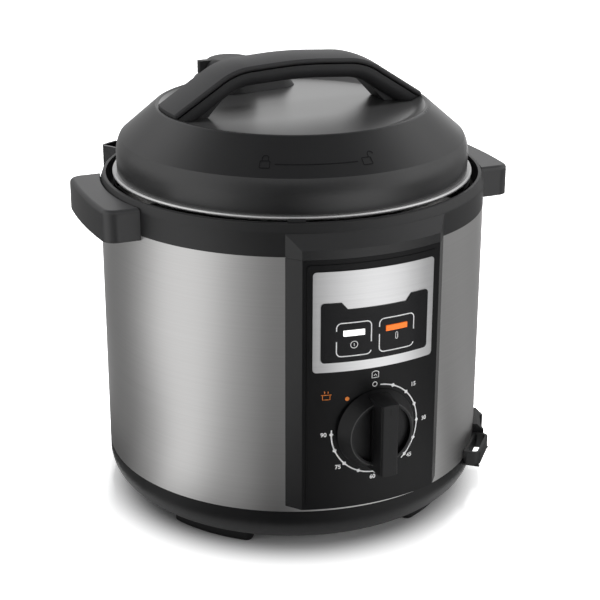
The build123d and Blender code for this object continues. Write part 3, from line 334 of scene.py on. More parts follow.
baseBlack = mouldedFinish(
    "baseBlack", (0.005, 0.005, 0.0055), (0.009, 0.009, 0.0095), roughness=0.42, Specular_IOR_Level=0.21,
)
valveBlack = mouldedFinish(
    "valveBlack", (0.012, 0.012, 0.0125), (0.020, 0.020, 0.0205), roughness=0.45,
)


# Marks painted into a finish where a mask built from the object's own coordinates holds. Some are painted
# light: the shade of a notch and a highlight on the knob's rim, and a sheen on the lid's top.

def allOf(tree, *masks):
    held = masks[0]
    for mask in masks[1:]:
        held = addMath(tree, "MULTIPLY", held, mask)
    return held


def above(tree, value, limit):
    return addMath(tree, "GREATER_THAN", value, limit)


def below(tree, value, limit):
    return addMath(tree, "LESS_THAN", value, limit)


def inBand(tree, value, low, high):
    return allOf(tree, above(tree, value, low), below(tree, value, high))


def distanceFrom(tree, x, y, centre):
    squares = [
        addMath(tree, "POWER", addMath(tree, "SUBTRACT", value, middle), 2.0)
        for value, middle in zip((x, y), centre)
    ]
    return addMath(tree, "SQRT", addMath(tree, "ADD", *squares))


def addMark(mat, buildMask, mark):
    tree = mat.node_tree
    shader = tree.nodes["Principled BSDF"]
    mask = buildMask(tree, *splitPlace(tree))
    mix = addNode(tree, "ShaderNodeMix", data_type="RGBA")  # sockets 0, 6 and 7: factor and two colours
    tree.links.new(shader.inputs["Base Color"].links[0].from_socket, mix.inputs[6])
    mix.inputs[7].default_value = (*mark["colour"], 1)
    tree.links.new(mask, mix.inputs[0])
    tree.links.new(mix.outputs[2], shader.inputs["Base Color"])
    if "coats" in mark:
        outside, inside = mark["coats"]
        coat = addMath(tree, "MULTIPLY_ADD", mask, inside - outside, outside)
        tree.links.new(coat, shader.inputs["Coat Weight"])


knobAxis, valveAxis = joints["timer_turn"]["pos_m"], joints["valve_turn"]["pos_m"]
knobFront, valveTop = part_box("timer_knob")[0][1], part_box("pressure_valve")[1][2]
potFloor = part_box("inner_pot")[0][2]

# A dark line down the knob's grip bar: painted shade standing in for a recessed pointer notch
knobNotchShade = {
    "half": 0.0004, "low": 0.0178, "high": 0.0222, "depth": 0.0008, "colour": (0.0015, 0.0015, 0.0015),
}


def knobNotchShadeMask(tree, x, y, z):
    line = inBand(tree, x, -knobNotchShade["half"], knobNotchShade["half"])
    run = inBand(tree, z, knobAxis[2] + knobNotchShade["low"], knobAxis[2] + knobNotchShade["high"])
    return allOf(tree, line, run, below(tree, y, knobFront + knobNotchShade["depth"]))


# A lighter ring at the outer edge of the knob's face: painted highlight for the light that edge catches
knobRimHighlight = {"inner": 0.0214, "outer": 0.0221, "near": 0.0105, "far": 0.0122, "colour": (0.05, 0.05, 0.05)}


def knobRimHighlightMask(tree, x, y, z):
    away = distanceFrom(tree, x, z, (knobAxis[0], knobAxis[2]))
    face = inBand(tree, y, knobFront + knobRimHighlight["near"], knobFront + knobRimHighlight["far"])
    return allOf(tree, inBand(tree, away, knobRimHighlight["inner"], knobRimHighlight["outer"]), face)


# The lid's flat top: a clear coat, and a lighter colour that is painted sheen on the same black plastic
lidTopCoatAndPaintedSheen = {"radius": 0.0905, "low": 0.268, "colour": (0.03, 0.03, 0.0305), "coats": (0.28, 1.0)}


def lidTopSheenMask(tree, x, y, z):
    inside = below(tree, distanceFrom(tree, x, y, (0, 0)), lidTopCoatAndPaintedSheen["radius"])
    return allOf(tree, inside, above(tree, z, lidTopCoatAndPaintedSheen["low"]))


cheekMark = {"side": 0.0472, "colour": (0.010, 0.010, 0.0105), "coats": (0.0, 0.42)}


def consoleCheek(tree, x, y, z):
    return above(tree, addMath(tree, "ABSOLUTE", x), cheekMark["side"])


valveMark = {"inner": 0.0042, "outer": 0.0050, "depth": 0.0006, "colour": (0.003, 0.003, 0.003)}


def valveRing(tree, x, y, z):
    away = distanceFrom(tree, x, y, valveAxis)
    face = above(tree, z, valveTop - valveMark["depth"])
    return allOf(tree, inBand(tree, away, valveMark["inner"], valveMark["outer"]), face)


levelMark = {  # turns in radians
    "step": 0.03, "share": 0.03, "from": 0.9, "to": 1.15, "radius": 0.1072, "colour": (0.5, 0.5, 0.5),
}


def potLevels(tree, x, y, z):
    steps = addMath(tree, "DIVIDE", addMath(tree, "SUBTRACT", z, potFloor), levelMark["step"])
    line = below(tree, addMath(tree, "FRACT", steps), levelMark["share"])
    turn = inBand(tree, addMath(tree, "ARCTAN2", y, x), levelMark["from"], levelMark["to"])
    inside = below(tree, distanceFrom(tree, x, y, (0, 0)), levelMark["radius"])
    return allOf(tree, line, turn, inside)


for mat, buildMask, mark in (
    (knobBlack, knobNotchShadeMask, knobNotchShade), (knobBlack, knobRimHighlightMask, knobRimHighlight), (lidBlack, lidTopSheenMask, lidTopCoatAndPaintedSheen),
    (panelBlack, consoleCheek, cheekMark), (valveBlack, valveRing, valveMark),
    (finishes["coated_pot"], potLevels, levelMark),
):
    addMark(mat, buildMask, mark)
print("materials made:", len(bpy.data.materials))


# Every node takes its finish; nodes that show get a smooth-shaded skin

def setFinish(obj, mat):
    obj.data.materials.clear()
    obj.data.materials.append(mat)


skins = {  # node: angle in degrees past which an edge stays sharp
    "shell": 30, "base": 28, "foot_1": 30, "foot_2": 30, "foot_3": 30, "foot_4": 30, "collar": 28,
    "side_handle_left": 30, "side_handle_right": 30, "console": 26, "front_sheet": 30, "face_plate": 30,
    "lamp_window": 30, "lamp_lens_white": 30, "lamp_lens_orange": 30, "timer_knob": 26, "outer_pot": 30,
    "inner_pot": 30, "ladle_holder": 30, "inlet_housing": 30, "condensation_cup": 30, "lid_cover": 11,
    "lid_plate": 30, "sealing_ring": 30, "handle_upper": 26, "handle_lower": 26, "pressure_valve": 26,
    "valve_island": 26, "heating_plate": 30, "sensor_cap": 30, "filter_cap": 30, "ring_rack": 30,
}
# Finishes of single pieces; the outer pot's near-black steel is painted shade
pieceFinish = {
    "handle_upper": handleBlack, "handle_lower": handleBlack, "lid_cover": lidBlack,
    "front_sheet": panelBlack, "console": panelBlack, "outer_pot": darkSteel, "base": baseBlack,
    "foot_1": baseBlack, "foot_2": baseBlack, "foot_3": baseBlack, "foot_4": baseBlack,
    "side_handle_left": gripBlack, "side_handle_right": gripBlack,
    "timer_knob": knobBlack, "pressure_valve": valveBlack,
}
skinWork = {"weld": 2e-6, "thin": 1e-7, "faceWeight": 80}


def makeSkin(node, sharpAngle):
    work = bmesh.new()
    work.from_mesh(frame["nodes"][node].data)
    bmesh.ops.remove_doubles(work, verts=work.verts, dist=skinWork["weld"])
    bmesh.ops.dissolve_degenerate(work, edges=work.edges, dist=skinWork["thin"])
    index = {vert: number for number, vert in enumerate(work.verts)}
    points = [vert.co[:] for vert in work.verts]
    faces = [[index[vert] for vert in face.verts] for face in work.faces]
    work.free()
    mesh = bpy.data.meshes.new(node + "_skin")
    mesh.from_pydata(points, [], faces)
    mesh.shade_smooth()
    mesh.set_sharp_from_angle(angle=math.radians(sharpAngle))
    skin = addObject(node + "_skin", mesh)
    weighted = skin.modifiers.new("faceWeight", "WEIGHTED_NORMAL")
    weighted.keep_sharp = True
    weighted.weight = skinWork["faceWeight"]
    dress = frozenMesh(skin)
    skin.modifiers.clear()
    skin.data = dress
    setFinish(skin, pieceFinish.get(node, finishes[slotOf[node]]))
    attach(skin, bodyOf[node])
    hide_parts(node)
    return skin


for node, obj in frame["nodes"].items():
    setFinish(obj, finishes[slotOf[node]])
for node, sharpAngle in skins.items():
    makeSkin(node, sharpAngle)

# The spring under the sensor gets a smooth skin with a mesh of its own
coil = {"sharp": 40}
spring = makeSkin("sensor_spring", coil["sharp"])
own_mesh(spring)
print("skins made:", len(skins))


# Pieces made here: a closed mesh with its faces outwards

pieceWork = {"weld": 2e-7, "thin": 1e-7}


def addPiece(name, points, faces, mat, body, slot):
    mesh = bpy.data.meshes.new(name)
    mesh.from_pydata(points, [], faces)
    work = bmesh.new()
    work.from_mesh(mesh)
    bmesh.ops.remove_doubles(work, verts=work.verts, dist=pieceWork["weld"])
    bmesh.ops.dissolve_degenerate(work, edges=work.edges, dist=pieceWork["thin"])
    bmesh.ops.recalc_face_normals(work, faces=work.faces)
    work.to_mesh(mesh)
    work.free()
    piece = addObject(name, mesh)
    setFinish(piece, mat)
    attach(piece, body)
    return piece


# Trim ring turned as one smooth bead at the place and size of its node
bead = {"round": 0.0013, "corner": 10, "steps": 240, "sharp": 40}


def turnedBead(node):
    low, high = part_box(node)
    outer, fillet = high[0], bead["round"]
    inner = min(math.hypot(vert.co.x, vert.co.y) for vert in frame["nodes"][node].data.vertices)
    profile = [(inner, low[2])]
    for middle, start in ((low[2] + fillet, -90), (high[2] - fillet, 0)):
        for number in range(bead["corner"] + 1):
            turn = math.radians(start + 90 * number / bead["corner"])
            profile.append((outer - fillet + fillet * math.cos(turn), middle + fillet * math.sin(turn)))
    profile.append((inner, high[2]))
    points, faces, count = [], [], len(profile)
    for step in range(bead["steps"]):
        turn = 2 * math.pi * step / bead["steps"]
        points += [(radius * math.cos(turn), radius * math.sin(turn), up) for radius, up in profile]
        after = (step + 1) % bead["steps"]
        for one in range(count):
            two = (one + 1) % count
            faces.append((step * count + one, after * count + one, after * count + two, step * count + two))
    return points, faces


ringMesh = turnedBead("lid_trim_ring")
ringPiece = addPiece("lid_trim_bead", *ringMesh, finishes["polished_steel"], "lid", "polished_steel")
ringPiece.data.shade_smooth()
ringPiece.data.set_sharp_from_angle(angle=math.radians(bead["sharp"]))
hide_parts("lid_trim_ring")


# Printed marks: flat shapes drawn as (across, up) in metres and laid on the curved front

front = {"drawRadius": 0.1386, "sheet": 0.13875, "window": 0.13985, "lift": 0.00014, "thick": 0.00008}


def layOnFront(points, surface):
    laid = []
    for across, up, out in points:
        turn = across / front["drawRadius"]
        radius = surface + front["lift"] + out
        laid.append(aroundAxis(radius, turn, up))
    return laid


def onSheet(points):
    return layOnFront(points, front["sheet"])


def onWindow(points):
    return layOnFront(points, front["window"])


def strokeMesh(paths, width, lay):
    # a band of even width along each path, with a top, a bottom and sides
    points, faces = [], []
    for path in paths:
        closed = path[0] == path[-1]
        path = path[:-1] if closed else path
        count = len(path)
        first = len(points)
        for number, (across, up) in enumerate(path):
            before = path[(number - 1) % count] if closed or number else path[0]
            after = path[(number + 1) % count] if closed or number < count - 1 else path[-1]
            along = Vector((after[0] - before[0], after[1] - before[1])).normalized()
            side = Vector((-along.y, along.x)) * width / 2
            for sign in (1, -1):
                for out in (0, front["thick"]):
                    points.append((across + sign * side.x, up + sign * side.y, out))
        for number in range(count if closed else count - 1):
            here = first + 4 * number
            there = first + 4 * ((number + 1) % count)
            for one, two in ((0, 1), (1, 3), (3, 2), (2, 0)):
                faces.append((here + one, here + two, there + two, there + one))
        if not closed:
            last = first + 4 * (count - 1)
            faces.append((first, first + 2, first + 3, first + 1))
            faces.append((last, last + 1, last + 3, last + 2))
    return lay(points), faces


def arcPath(across, up, radius, start, end, steps=28):
    # angles clockwise from straight up, in degrees
    angles = [math.radians(start + (end - start) * number / steps) for number in range(steps + 1)]
    return [(across + radius * math.sin(angle), up + radius * math.cos(angle)) for angle in angles]


def roundedPath(left, right, low, high, radius, cornerSteps=6):
    # clockwise from the right end of the top edge
    path = []
    for x, z, start in (
        (right - radius, high - radius, 0), (right - radius, low + radius, 90),
        (left + radius, low + radius, 180), (left + radius, high - radius, 270),
    ):
        path += arcPath(x, z, radius, start, start + 90, cornerSteps)
    return path


def cutPath(path, step=0.001):
    # more points along long straight runs, so that they follow the curve of the front
    fine = [path[0]]
    for one, two in zip(path, path[1:]):
        runs = max(1, math.ceil(math.dist(one, two) / step))
        for number in range(1, runs + 1):
            share = number / runs
            fine.append((one[0] + (two[0] - one[0]) * share, one[1] + (two[1] - one[1]) * share))
    return fine


def keepPath(path, keep):
    # the stretches of a path on which keep(across, up) holds
    stretches, stretch = [], []
    for point in path:
        if keep(*point):
            stretch.append(point)
        elif stretch:
            stretches.append(stretch)
            stretch = []
    if stretch:
        stretches.append(stretch)
    return [part for part in stretches if len(part) > 2]


# Frames round the lamps, each with a gap in its left and right side
lampFrames = {
    "width": 0.7 * mm, "low": 146.0 * mm, "high": 168.3 * mm, "round": 3.2 * mm, "edge": 1.5 * mm,
    "sides": (
        {
            "ends": (-27.3 * mm, -4.6 * mm),
            "leftGap": (157 * mm, 162.5 * mm), "rightGap": (149 * mm, 154 * mm),
        },
        {
            "ends": (0.9 * mm, 25.9 * mm),
            "leftGap": (158.5 * mm, 162.5 * mm), "rightGap": (148.5 * mm, 156.5 * mm),
        },
    ),
}


def lampFrame(side):
    start, end = side["ends"]
    low, high, corner, edge = (lampFrames[label] for label in ("low", "high", "round", "edge"))

    def drawn(x, z):
        inLeft = x < start + edge and side["leftGap"][0] < z < side["leftGap"][1]
        inRight = x > end - edge and side["rightGap"][0] < z < side["rightGap"][1]
        return not inLeft and not inRight

    outline = roundedPath(start, end, low, high, corner) + [(end - corner, high)]
    return keepPath(cutPath(outline), drawn)


framePaths = [path for side in lampFrames["sides"] for path in lampFrame(side)]
frameMesh = strokeMesh(framePaths, lampFrames["width"], onWindow)
addPiece("lamp_frames", *frameMesh, whiteInk, "base", "lens_white")

# Power sign and thermometer under the lamps
lampSigns = {"stroke": 0.4 * mm}
powerSign = {"at": (-15.9 * mm, 153.4 * mm), "radius": 2.3 * mm, "stem": 0.9 * mm}
thermometer = {"at": (13.2 * mm, 155.4 * mm), "half": 0.75 * mm, "tall": 4.4 * mm, "roundShare": 0.95}
x, z = powerSign["at"]
stem = powerSign["stem"]
signPaths = [arcPath(x, z, powerSign["radius"], 0, 360), [(x, z - stem), (x, z), (x, z + stem)]]
x, z = thermometer["at"]
half, tall = thermometer["half"], thermometer["tall"]
corner = half * thermometer["roundShare"]
tube = roundedPath(x - half, x + half, z - tall / 2, z + tall / 2, corner)
signPaths.append(tube + [(x + half - corner, z + tall / 2)])
addPiece("lamp_signs", *strokeMesh(signPaths, lampSigns["stroke"], onWindow), whiteInk, "base", "lens_white")


def cupPath(sign):
    x, z = sign["at"]
    left, right, low, high = x - sign["half"], x + sign["half"], z + sign["low"], z + sign["high"]
    return [(left, high), (left, low), (x, low), (right, low), (right, high)]


# Pot sign and off ring above the dial
potSign = {
    "at": (-0.8 * mm, 130.5 * mm), "half": 2.3 * mm, "low": -2.1 * mm, "high": 1.5 * mm, "stroke": 0.45 * mm,
    "lidDrop": 0.9 * mm, "lidRadius": 3.3 * mm, "lidTurn": 44, "lidSteps": 12,
    "peakHalf": 1.0 * mm, "peakFoot": -0.8 * mm, "peakTop": 0.3 * mm,
}
offRing = {"at": (-1.0 * mm, 123.9 * mm), "radius": 1.5 * mm}
x, z = potSign["at"]
lidTurn, peakHalf, peakFoot = potSign["lidTurn"], potSign["peakHalf"], potSign["peakFoot"]
potPaths = [
    cupPath(potSign),
    arcPath(x, z - potSign["lidDrop"], potSign["lidRadius"], -lidTurn, lidTurn, potSign["lidSteps"]),
    [(x - peakHalf, z + peakFoot), (x, z + potSign["peakTop"]), (x + peakHalf, z + peakFoot)],
    arcPath(*offRing["at"], offRing["radius"], 0, 360),
]
addPiece("dial_signs", *strokeMesh(potPaths, potSign["stroke"], onSheet), whiteInk, "base", "lens_white")

# Pan sign and dot at the left of the dial
panSign = {
    "at": (-33.2 * mm, 118.9 * mm), "half": 2.4 * mm, "low": -2.1 * mm, "high": 1.1 * mm,
    "stroke": 0.42 * mm, "rimHalf": 3.3 * mm,
    "steam": ((-1.2 * mm, -0.9 * mm), (1.0 * mm, 1.3 * mm)), "steamUp": (2.2 * mm, 2.9 * mm, 3.6 * mm),
}
panDot = {"at": (-19.6 * mm, 116.3 * mm), "radius": 0.7 * mm, "stroke": 1.4 * mm}
x, z = panSign["at"]
rim = z + panSign["high"]
panPaths = [cupPath(panSign), [(x - panSign["rimHalf"], rim), (x, rim), (x + panSign["rimHalf"], rim)]]
for foot, bend in panSign["steam"]:
    panPaths.append([(x + across, z + up) for across, up in zip((foot, bend, foot), panSign["steamUp"])])
addPiece("pan_signs", *strokeMesh(panPaths, panSign["stroke"], onSheet), orangeInk, "base", "lens_orange")
dotPaths = [arcPath(*panDot["at"], panDot["radius"], 0, 360)]
addPiece("pan_dot", *strokeMesh(dotPaths, panDot["stroke"], onSheet), orangeInk, "base", "lens_orange")


# Dial line: a Geometry Nodes band that thickens at every stop and is laid on the front

dial = {
    "proud": 0.35 * mm, "width": 0.45 * mm, "stop": 1.0 * mm, "step": 22.5,
    "points": 160, "sides": 8, "peak": 24.0, "flat": 0.12,
    "runs": ((5, 141, 31.3 * mm, 91.9 * mm), (179, 276, 29.8 * mm, 92.3 * mm)),  # from, to, radius, height
}


def makeDialTree():
    tree = bpy.data.node_groups.new("dialLine", "GeometryNodeTree")
    addInputs(tree, (
        ("Radius", "Float", 0.03), ("Start", "Float", 0.0), ("Sweep", "Float", 1.0),
        ("Width", "Float", 0.0004), ("Stop Width", "Float", 0.0007), ("Stops Per Turn", "Float", 16.0),
        ("Height", "Float", 0.09), ("Front Radius", "Float", 0.138), ("Draw Radius", "Float", 0.138),
        ("Finish", "Material", None),
    ))
    tree.interface.new_socket("Mesh", in_out="OUTPUT", socket_type="NodeSocketGeometry")
    given, result = tree.nodes.new("NodeGroupInput").outputs, tree.nodes.new("NodeGroupOutput")
    arc = addNode(tree, "GeometryNodeCurveArc")
    arc.inputs["Resolution"].default_value = dial["points"]
    for label, socket in (("Radius", "Radius"), ("Start", "Start Angle"), ("Sweep", "Sweep Angle")):
        tree.links.new(given[label], arc.inputs[socket])
    place = addNode(tree, "ShaderNodeSeparateXYZ")
    tree.links.new(addNode(tree, "GeometryNodeInputPosition").outputs[0], place.inputs[0])
    x, y, z = place.outputs
    # the band's width, with a peak at every stop
    angle = addMath(tree, "ARCTAN2", x, y)
    wave = addMath(tree, "COSINE", addMath(tree, "MULTIPLY", angle, given["Stops Per Turn"]))
    peak = addMath(tree, "POWER", addMath(tree, "MULTIPLY_ADD", wave, 0.5, 0.5), dial["peak"])
    width = addMath(tree, "MULTIPLY_ADD", peak, given["Stop Width"], given["Width"])
    profile = addNode(tree, "GeometryNodeCurvePrimitiveCircle")
    profile.inputs["Resolution"].default_value = dial["sides"]
    profile.inputs["Radius"].default_value = 1.0
    sweep = addNode(tree, "GeometryNodeCurveToMesh")
    sweep.inputs["Fill Caps"].default_value = True
    tree.links.new(arc.outputs["Curve"], sweep.inputs["Curve"])
    tree.links.new(profile.outputs["Curve"], sweep.inputs["Profile Curve"])
    tree.links.new(width, sweep.inputs["Scale"])
    # flattened and bent round the front
    turn = addMath(tree, "DIVIDE", x, given["Draw Radius"])
    out = addMath(tree, "MULTIPLY_ADD", z, dial["flat"], given["Front Radius"])
    back = addMath(tree, "MULTIPLY", out, addMath(tree, "COSINE", turn))
    laid = addNode(tree, "ShaderNodeCombineXYZ")
    tree.links.new(addMath(tree, "MULTIPLY", out, addMath(tree, "SINE", turn)), laid.inputs["X"])
    tree.links.new(addMath(tree, "MULTIPLY", back, -1.0), laid.inputs["Y"])
    tree.links.new(addMath(tree, "ADD", y, given["Height"]), laid.inputs["Z"])
    lay = addNode(tree, "GeometryNodeSetPosition")
    tree.links.new(sweep.outputs["Mesh"], lay.inputs["Geometry"])
    tree.links.new(laid.outputs[0], lay.inputs["Position"])
    realize = addNode(tree, "GeometryNodeRealizeInstances")
    tree.links.new(lay.outputs[0], realize.inputs[0])
    finish = addNode(tree, "GeometryNodeSetMaterial")
    tree.links.new(realize.outputs[0], finish.inputs["Geometry"])
    tree.links.new(given["Finish"], finish.inputs["Material"])
    tree.links.new(finish.outputs[0], result.inputs[0])
    return tree


def runTree(name, tree, values, body):
    piece = addObject(name, bpy.data.meshes.new(name))
    modifier = piece.modifiers.new("tree", "NODES")
    modifier.node_group = tree
    identifiers = {item.name: item.identifier for item in tree.interface.items_tree if item.in_out == "INPUT"}
    for label, value in values.items():
        modifier[identifiers[label]] = value
    mesh = frozenMesh(piece)
    piece.modifiers.clear()
    piece.data = mesh
    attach(piece, body)


dialTree = makeDialTree()
for number, (start, end, radius, height) in enumerate(dial["runs"]):
    runTree(f"dial_line_{number + 1}", dialTree, {
        "Radius": radius, "Start": math.radians(90 - end), "Sweep": math.radians(end - start),
        "Width": dial["width"], "Stop Width": dial["stop"], "Stops Per Turn": 360 / dial["step"],
        "Height": height, "Front Radius": front["sheet"] + dial["proud"],
        "Draw Radius": front["drawRadius"], "Finish": whiteInk,
    }, "base")

dialNumbers = {
    "size": 4.0 * mm, "bold": 0.09 * mm, "smooth": 6,
    "places": {  # across and up, in millimetres
        "15": (27.9, 118.0), "30": (37.8, 91.3), "45": (26.1, 68.0),
        "60": (-1.4, 58.6), "75": (-25.2, 68.8), "90": (-34.8, 92.2),
    },
}
for digits, (across, up) in dialNumbers["places"].items():
    text = bpy.data.curves.new("minutes_" + digits, "FONT")
    text.body = digits
    text.size = dialNumbers["size"]
    text.align_x, text.align_y = "CENTER", "CENTER"
    text.extrude = front["thick"] / 2
    text.resolution_u = dialNumbers["smooth"]
    text.offset = dialNumbers["bold"]
    holder = addObject("minutes_" + digits, text)
    mesh = frozenMesh(holder)
    bpy.data.objects.remove(holder)
    points = [
        (vert.co.x + across * mm, vert.co.y + up * mm, vert.co.z + front["thick"] / 2)
        for vert in mesh.vertices
    ]
    faces = [list(face.vertices) for face in mesh.polygons]
    bpy.data.meshes.remove(mesh)
    addPiece("minutes_" + digits, onSheet(points), faces, whiteInk, "base", "lens_white")
print("front printed")


# Lock signs on the slope of the lid, raised a little

lidSlope = {  # foot and top as (radius, height); closed and open in degrees round the lid
    "foot": (117.7 * mm, 255.9 * mm), "top": (92.8 * mm, 277.4 * mm), "up": -4.6 * mm,
    "closed": -31.5, "open": 2.4,
}
lockSign = {
    "half": 3.0 * mm, "low": -4.5 * mm, "high": 0.8 * mm, "round": 0.6 * mm, "bow": 1.9 * mm,
    "bowRise": 2.2 * mm, "bowSteps": 14, "openShift": 3.8 * mm, "stroke": 0.5 * mm,
    "lineGap": 6.0 * mm, "lineDrop": 1.5 * mm,
}
slopeRun = Vector(lidSlope["top"]) - Vector(lidSlope["foot"])
slopeMiddle = (Vector(lidSlope["top"]) + Vector(lidSlope["foot"])) / 2
slopeUp = slopeRun.normalized()
slopeOut = Vector((slopeUp.y, -slopeUp.x))


def onSlope(points):
    laid = []
    for across, up, out in points:
        radius, height = slopeMiddle + slopeUp * up + slopeOut * (out + front["lift"])
        turn = across / slopeMiddle.x
        laid.append(aroundAxis(radius, turn, height))
    return laid


def lockPaths(azimuth, shift):
    x, up = math.radians(azimuth) * slopeMiddle.x, lidSlope["up"]
    half, bow, high = lockSign["half"], lockSign["bow"], up + lockSign["high"]
    body = roundedPath(x - half, x + half, up + lockSign["low"], high, lockSign["round"])
    start = x + shift
    loop = [(start - bow, high)]
    loop += arcPath(start, high + lockSign["bowRise"], bow, -90, 90, lockSign["bowSteps"])
    if not shift:
        loop.append((start + bow, high))
    return [body + body[:1], loop]


signPaths = lockPaths(lidSlope["closed"], 0) + lockPaths(lidSlope["open"], lockSign["openShift"])
lineEnds = [
    math.radians(lidSlope[end]) * slopeMiddle.x + gap
    for end, gap in (("closed", lockSign["lineGap"]), ("open", -lockSign["lineGap"]))
]
signPaths.append(cutPath([(across, lidSlope["up"] - lockSign["lineDrop"]) for across in lineEnds]))
addPiece("lid_signs", *strokeMesh(signPaths, lockSign["stroke"], onSlope), baseBlack, "lid", "black_plastic")


# Camera at the photograph's place

view = {
    "place": (-0.3844, -0.9188, 0.5096), "azimuth": -22.7, "down": 0.3427, "yaw": 0.0049, "roll": -0.0025,
    "lens": 89.56, "sensor": 36.0, "shift": -0.0487, "clip": (0.05, 50.0),
}
camera = addObject("camera", bpy.data.cameras.new("camera"))
camera.location = view["place"]
camera.rotation_euler = (
    math.pi / 2 - view["down"], view["roll"], math.radians(view["azimuth"]) - view["yaw"],
)
camera.data.lens = view["lens"]
camera.data.sensor_width = view["sensor"]
camera.data.shift_y = view["shift"]
camera.data.clip_start, camera.data.clip_end = view["clip"]
bpy.context.scene.camera = camera


# Pale floor and soft light

def seenPlainly(tree):
    # 1 for what the camera, mirrors and clear pieces see
    path = addNode(tree, "ShaderNodeLightPath")
    seen = addMath(tree, "MAXIMUM", path.outputs["Is Camera Ray"], path.outputs["Is Glossy Ray"])
    return addMath(tree, "MAXIMUM", seen, path.outputs["Is Transmission Ray"])


def distanceOut(tree):
    reach = addNode(tree, "ShaderNodeVectorMath", operation="LENGTH")
    tree.links.new(addNode(tree, "ShaderNodeTexCoord").outputs["Object"], reach.inputs[0])
    return reach.outputs["Value"]


# The world lights softly; the camera sees it white, and mirrors see white fade into a dim ceiling
studio = {"colour": (0.75, 0.76, 0.78, 1), "strength": 0.14, "white": (1, 1, 1, 1)}
ceiling = {"from": 0.33, "to": 0.6, "dim": 0.15}


def makeWorld():
    world = bpy.data.worlds.new("studio")
    bpy.context.scene.world = world
    world.use_nodes = True
    tree = world.node_tree
    plain = tree.nodes["Background"]
    plain.inputs["Color"].default_value = studio["colour"]
    plain.inputs["Strength"].default_value = studio["strength"]
    white = addNode(tree, "ShaderNodeBackground")
    white.inputs["Color"].default_value = studio["white"]
    parts = addNode(tree, "ShaderNodeSeparateXYZ")
    tree.links.new(addNode(tree, "ShaderNodeTexCoord").outputs["Generated"], parts.inputs[0])
    dimmed = fade(tree, parts.outputs["Z"], ceiling["from"], ceiling["to"], 1.0, ceiling["dim"])
    seen = addNode(tree, "ShaderNodeLightPath").outputs["Is Camera Ray"]
    tree.links.new(addMath(tree, "MAXIMUM", seen, dimmed), white.inputs["Strength"])
    mix = addNode(tree, "ShaderNodeMixShader")
    tree.links.new(seenPlainly(tree), mix.inputs["Fac"])
    tree.links.new(plain.outputs[0], mix.inputs[1])
    tree.links.new(white.outputs[0], mix.inputs[2])
    tree.links.new(mix.outputs[0], tree.nodes["World Output"].inputs["Surface"])


# The floor turns white a little way out, so that the shadow stays close to the object; its glow fades in from
# nothing near the object, which paints a ring of contact shadow round the foot on top of the lamps' own
# shadow
floorLook = {"half": 5.0, "cloud": 3.0, "dark": (0.9, 0.9, 0.9), "light": (0.93, 0.93, 0.93), "rough": 0.9}
floorWhite = {"from": 0.110, "to": 0.150, "near": 0.0, "far": 0.95}


def makeFloor():
    half = floorLook["half"]
    corners = [(-half, -half, 0), (half, -half, 0), (half, half, 0), (-half, half, 0)]
    mesh = bpy.data.meshes.new("floor")
    mesh.from_pydata(corners, [], [(0, 1, 2, 3)])
    floor = addObject("floor", mesh)
    mat, tree, shader, where = startMaterial(
        "paleFloor", Roughness=floorLook["rough"], Specular_IOR_Level=0.0, Emission_Color=(1, 1, 1, 1),
    )
    cloud = addNoise(tree, where, floorLook["cloud"])
    pale = mixColours(tree, cloud, floorLook["dark"], floorLook["light"])
    tree.links.new(pale, shader.inputs["Base Color"])
    start, end, near, far = (floorWhite[label] for label in ("from", "to", "near", "far"))
    # the glow rises with distance, so the floor near the object keeps a painted contact shadow
    whitening = fade(tree, distanceOut(tree), start, end, near, far)
    glow = addMath(tree, "MULTIPLY", seenPlainly(tree), whitening)
    tree.links.new(glow, shader.inputs["Emission Strength"])
    setFinish(floor, mat)


softboxes = (  # name, place, target, width, height, power
    ("leftLight", (-1.9, -0.5, 0.6), (0, 0, 0.15), 1.0, 0.9, 4),
    ("rightLight", (0.9, -1.7, 0.6), (0, 0, 0.15), 0.9, 0.9, 12),
    ("backLight", (1.3, 1.4, 1.3), (0, 0, 0.2), 1.6, 0.8, 5),
    ("topLight", (0.2, 0.36, 2.1), (0, 0, 0.2), 0.6, 0.6, 50),
)


def addSoftbox(name, place, target, width, height, power):
    lamp = bpy.data.lights.new(name, "AREA")
    lamp.shape = "RECTANGLE"
    lamp.size, lamp.size_y = width, height
    lamp.energy = power
    box = addObject(name, lamp)
    box.location = place
    box.rotation_euler = (Vector(target) - Vector(place)).to_track_quat("-Z", "Y").to_euler()
    box.visible_glossy = False


# Curved cards round the front and sides, which only reflections see; the back stays open
cards = {
    "from": -184, "to": 128, "steps": 96,
    "profile": (  # radius and height
        (0.15, 0.0005), (0.3, 0.0005), (1.0, 0.0005), (1.0, 0.5), (1.0, 1.3), (0.6, 1.6), (0.02, 1.65),
    ),
    "full": 2.0,  # the ramps hold levels as shares of this
    "turnBack": 21, "near": (0.2, 0.5), "left": (-82, -66),  # the near floor at the left is turned back
    "foot": (0.14, 0.24), "footLevel": 0.7,  # dimmer at the object's foot
    "strip": (0.5, 0.85), "stripLevel": 0.9,  # the upper wall has at least this level
    "wall": (0.02, 0.25), "top": (1.15, 1.5), "topLevel": 0.1,
}
floorStops = (  # degrees round the object, level
    (-180, 0.5), (-150, 0.2), (-128, 0.18), (-112, 0.42), (-95, 1.1), (-72, 1.1), (-50, 0.42), (-26, 0.08),
    (-12, 0.42), (2, 0.95), (18, 1.3), (34, 1.15), (46, 0.45), (60, 0.2), (80, 0.36), (107, 0.28),
    (128, 0.5), (180, 0.6),
)
wallStops = (
    (-180, 0.55), (-150, 0.4), (-125, 0.9), (-95, 1.2), (-70, 1.0), (-50, 0.4), (-25, 0.12), (5, 0.3),
    (30, 0.9), (55, 1.35), (85, 0.9), (110, 0.5), (180, 0.6),
)


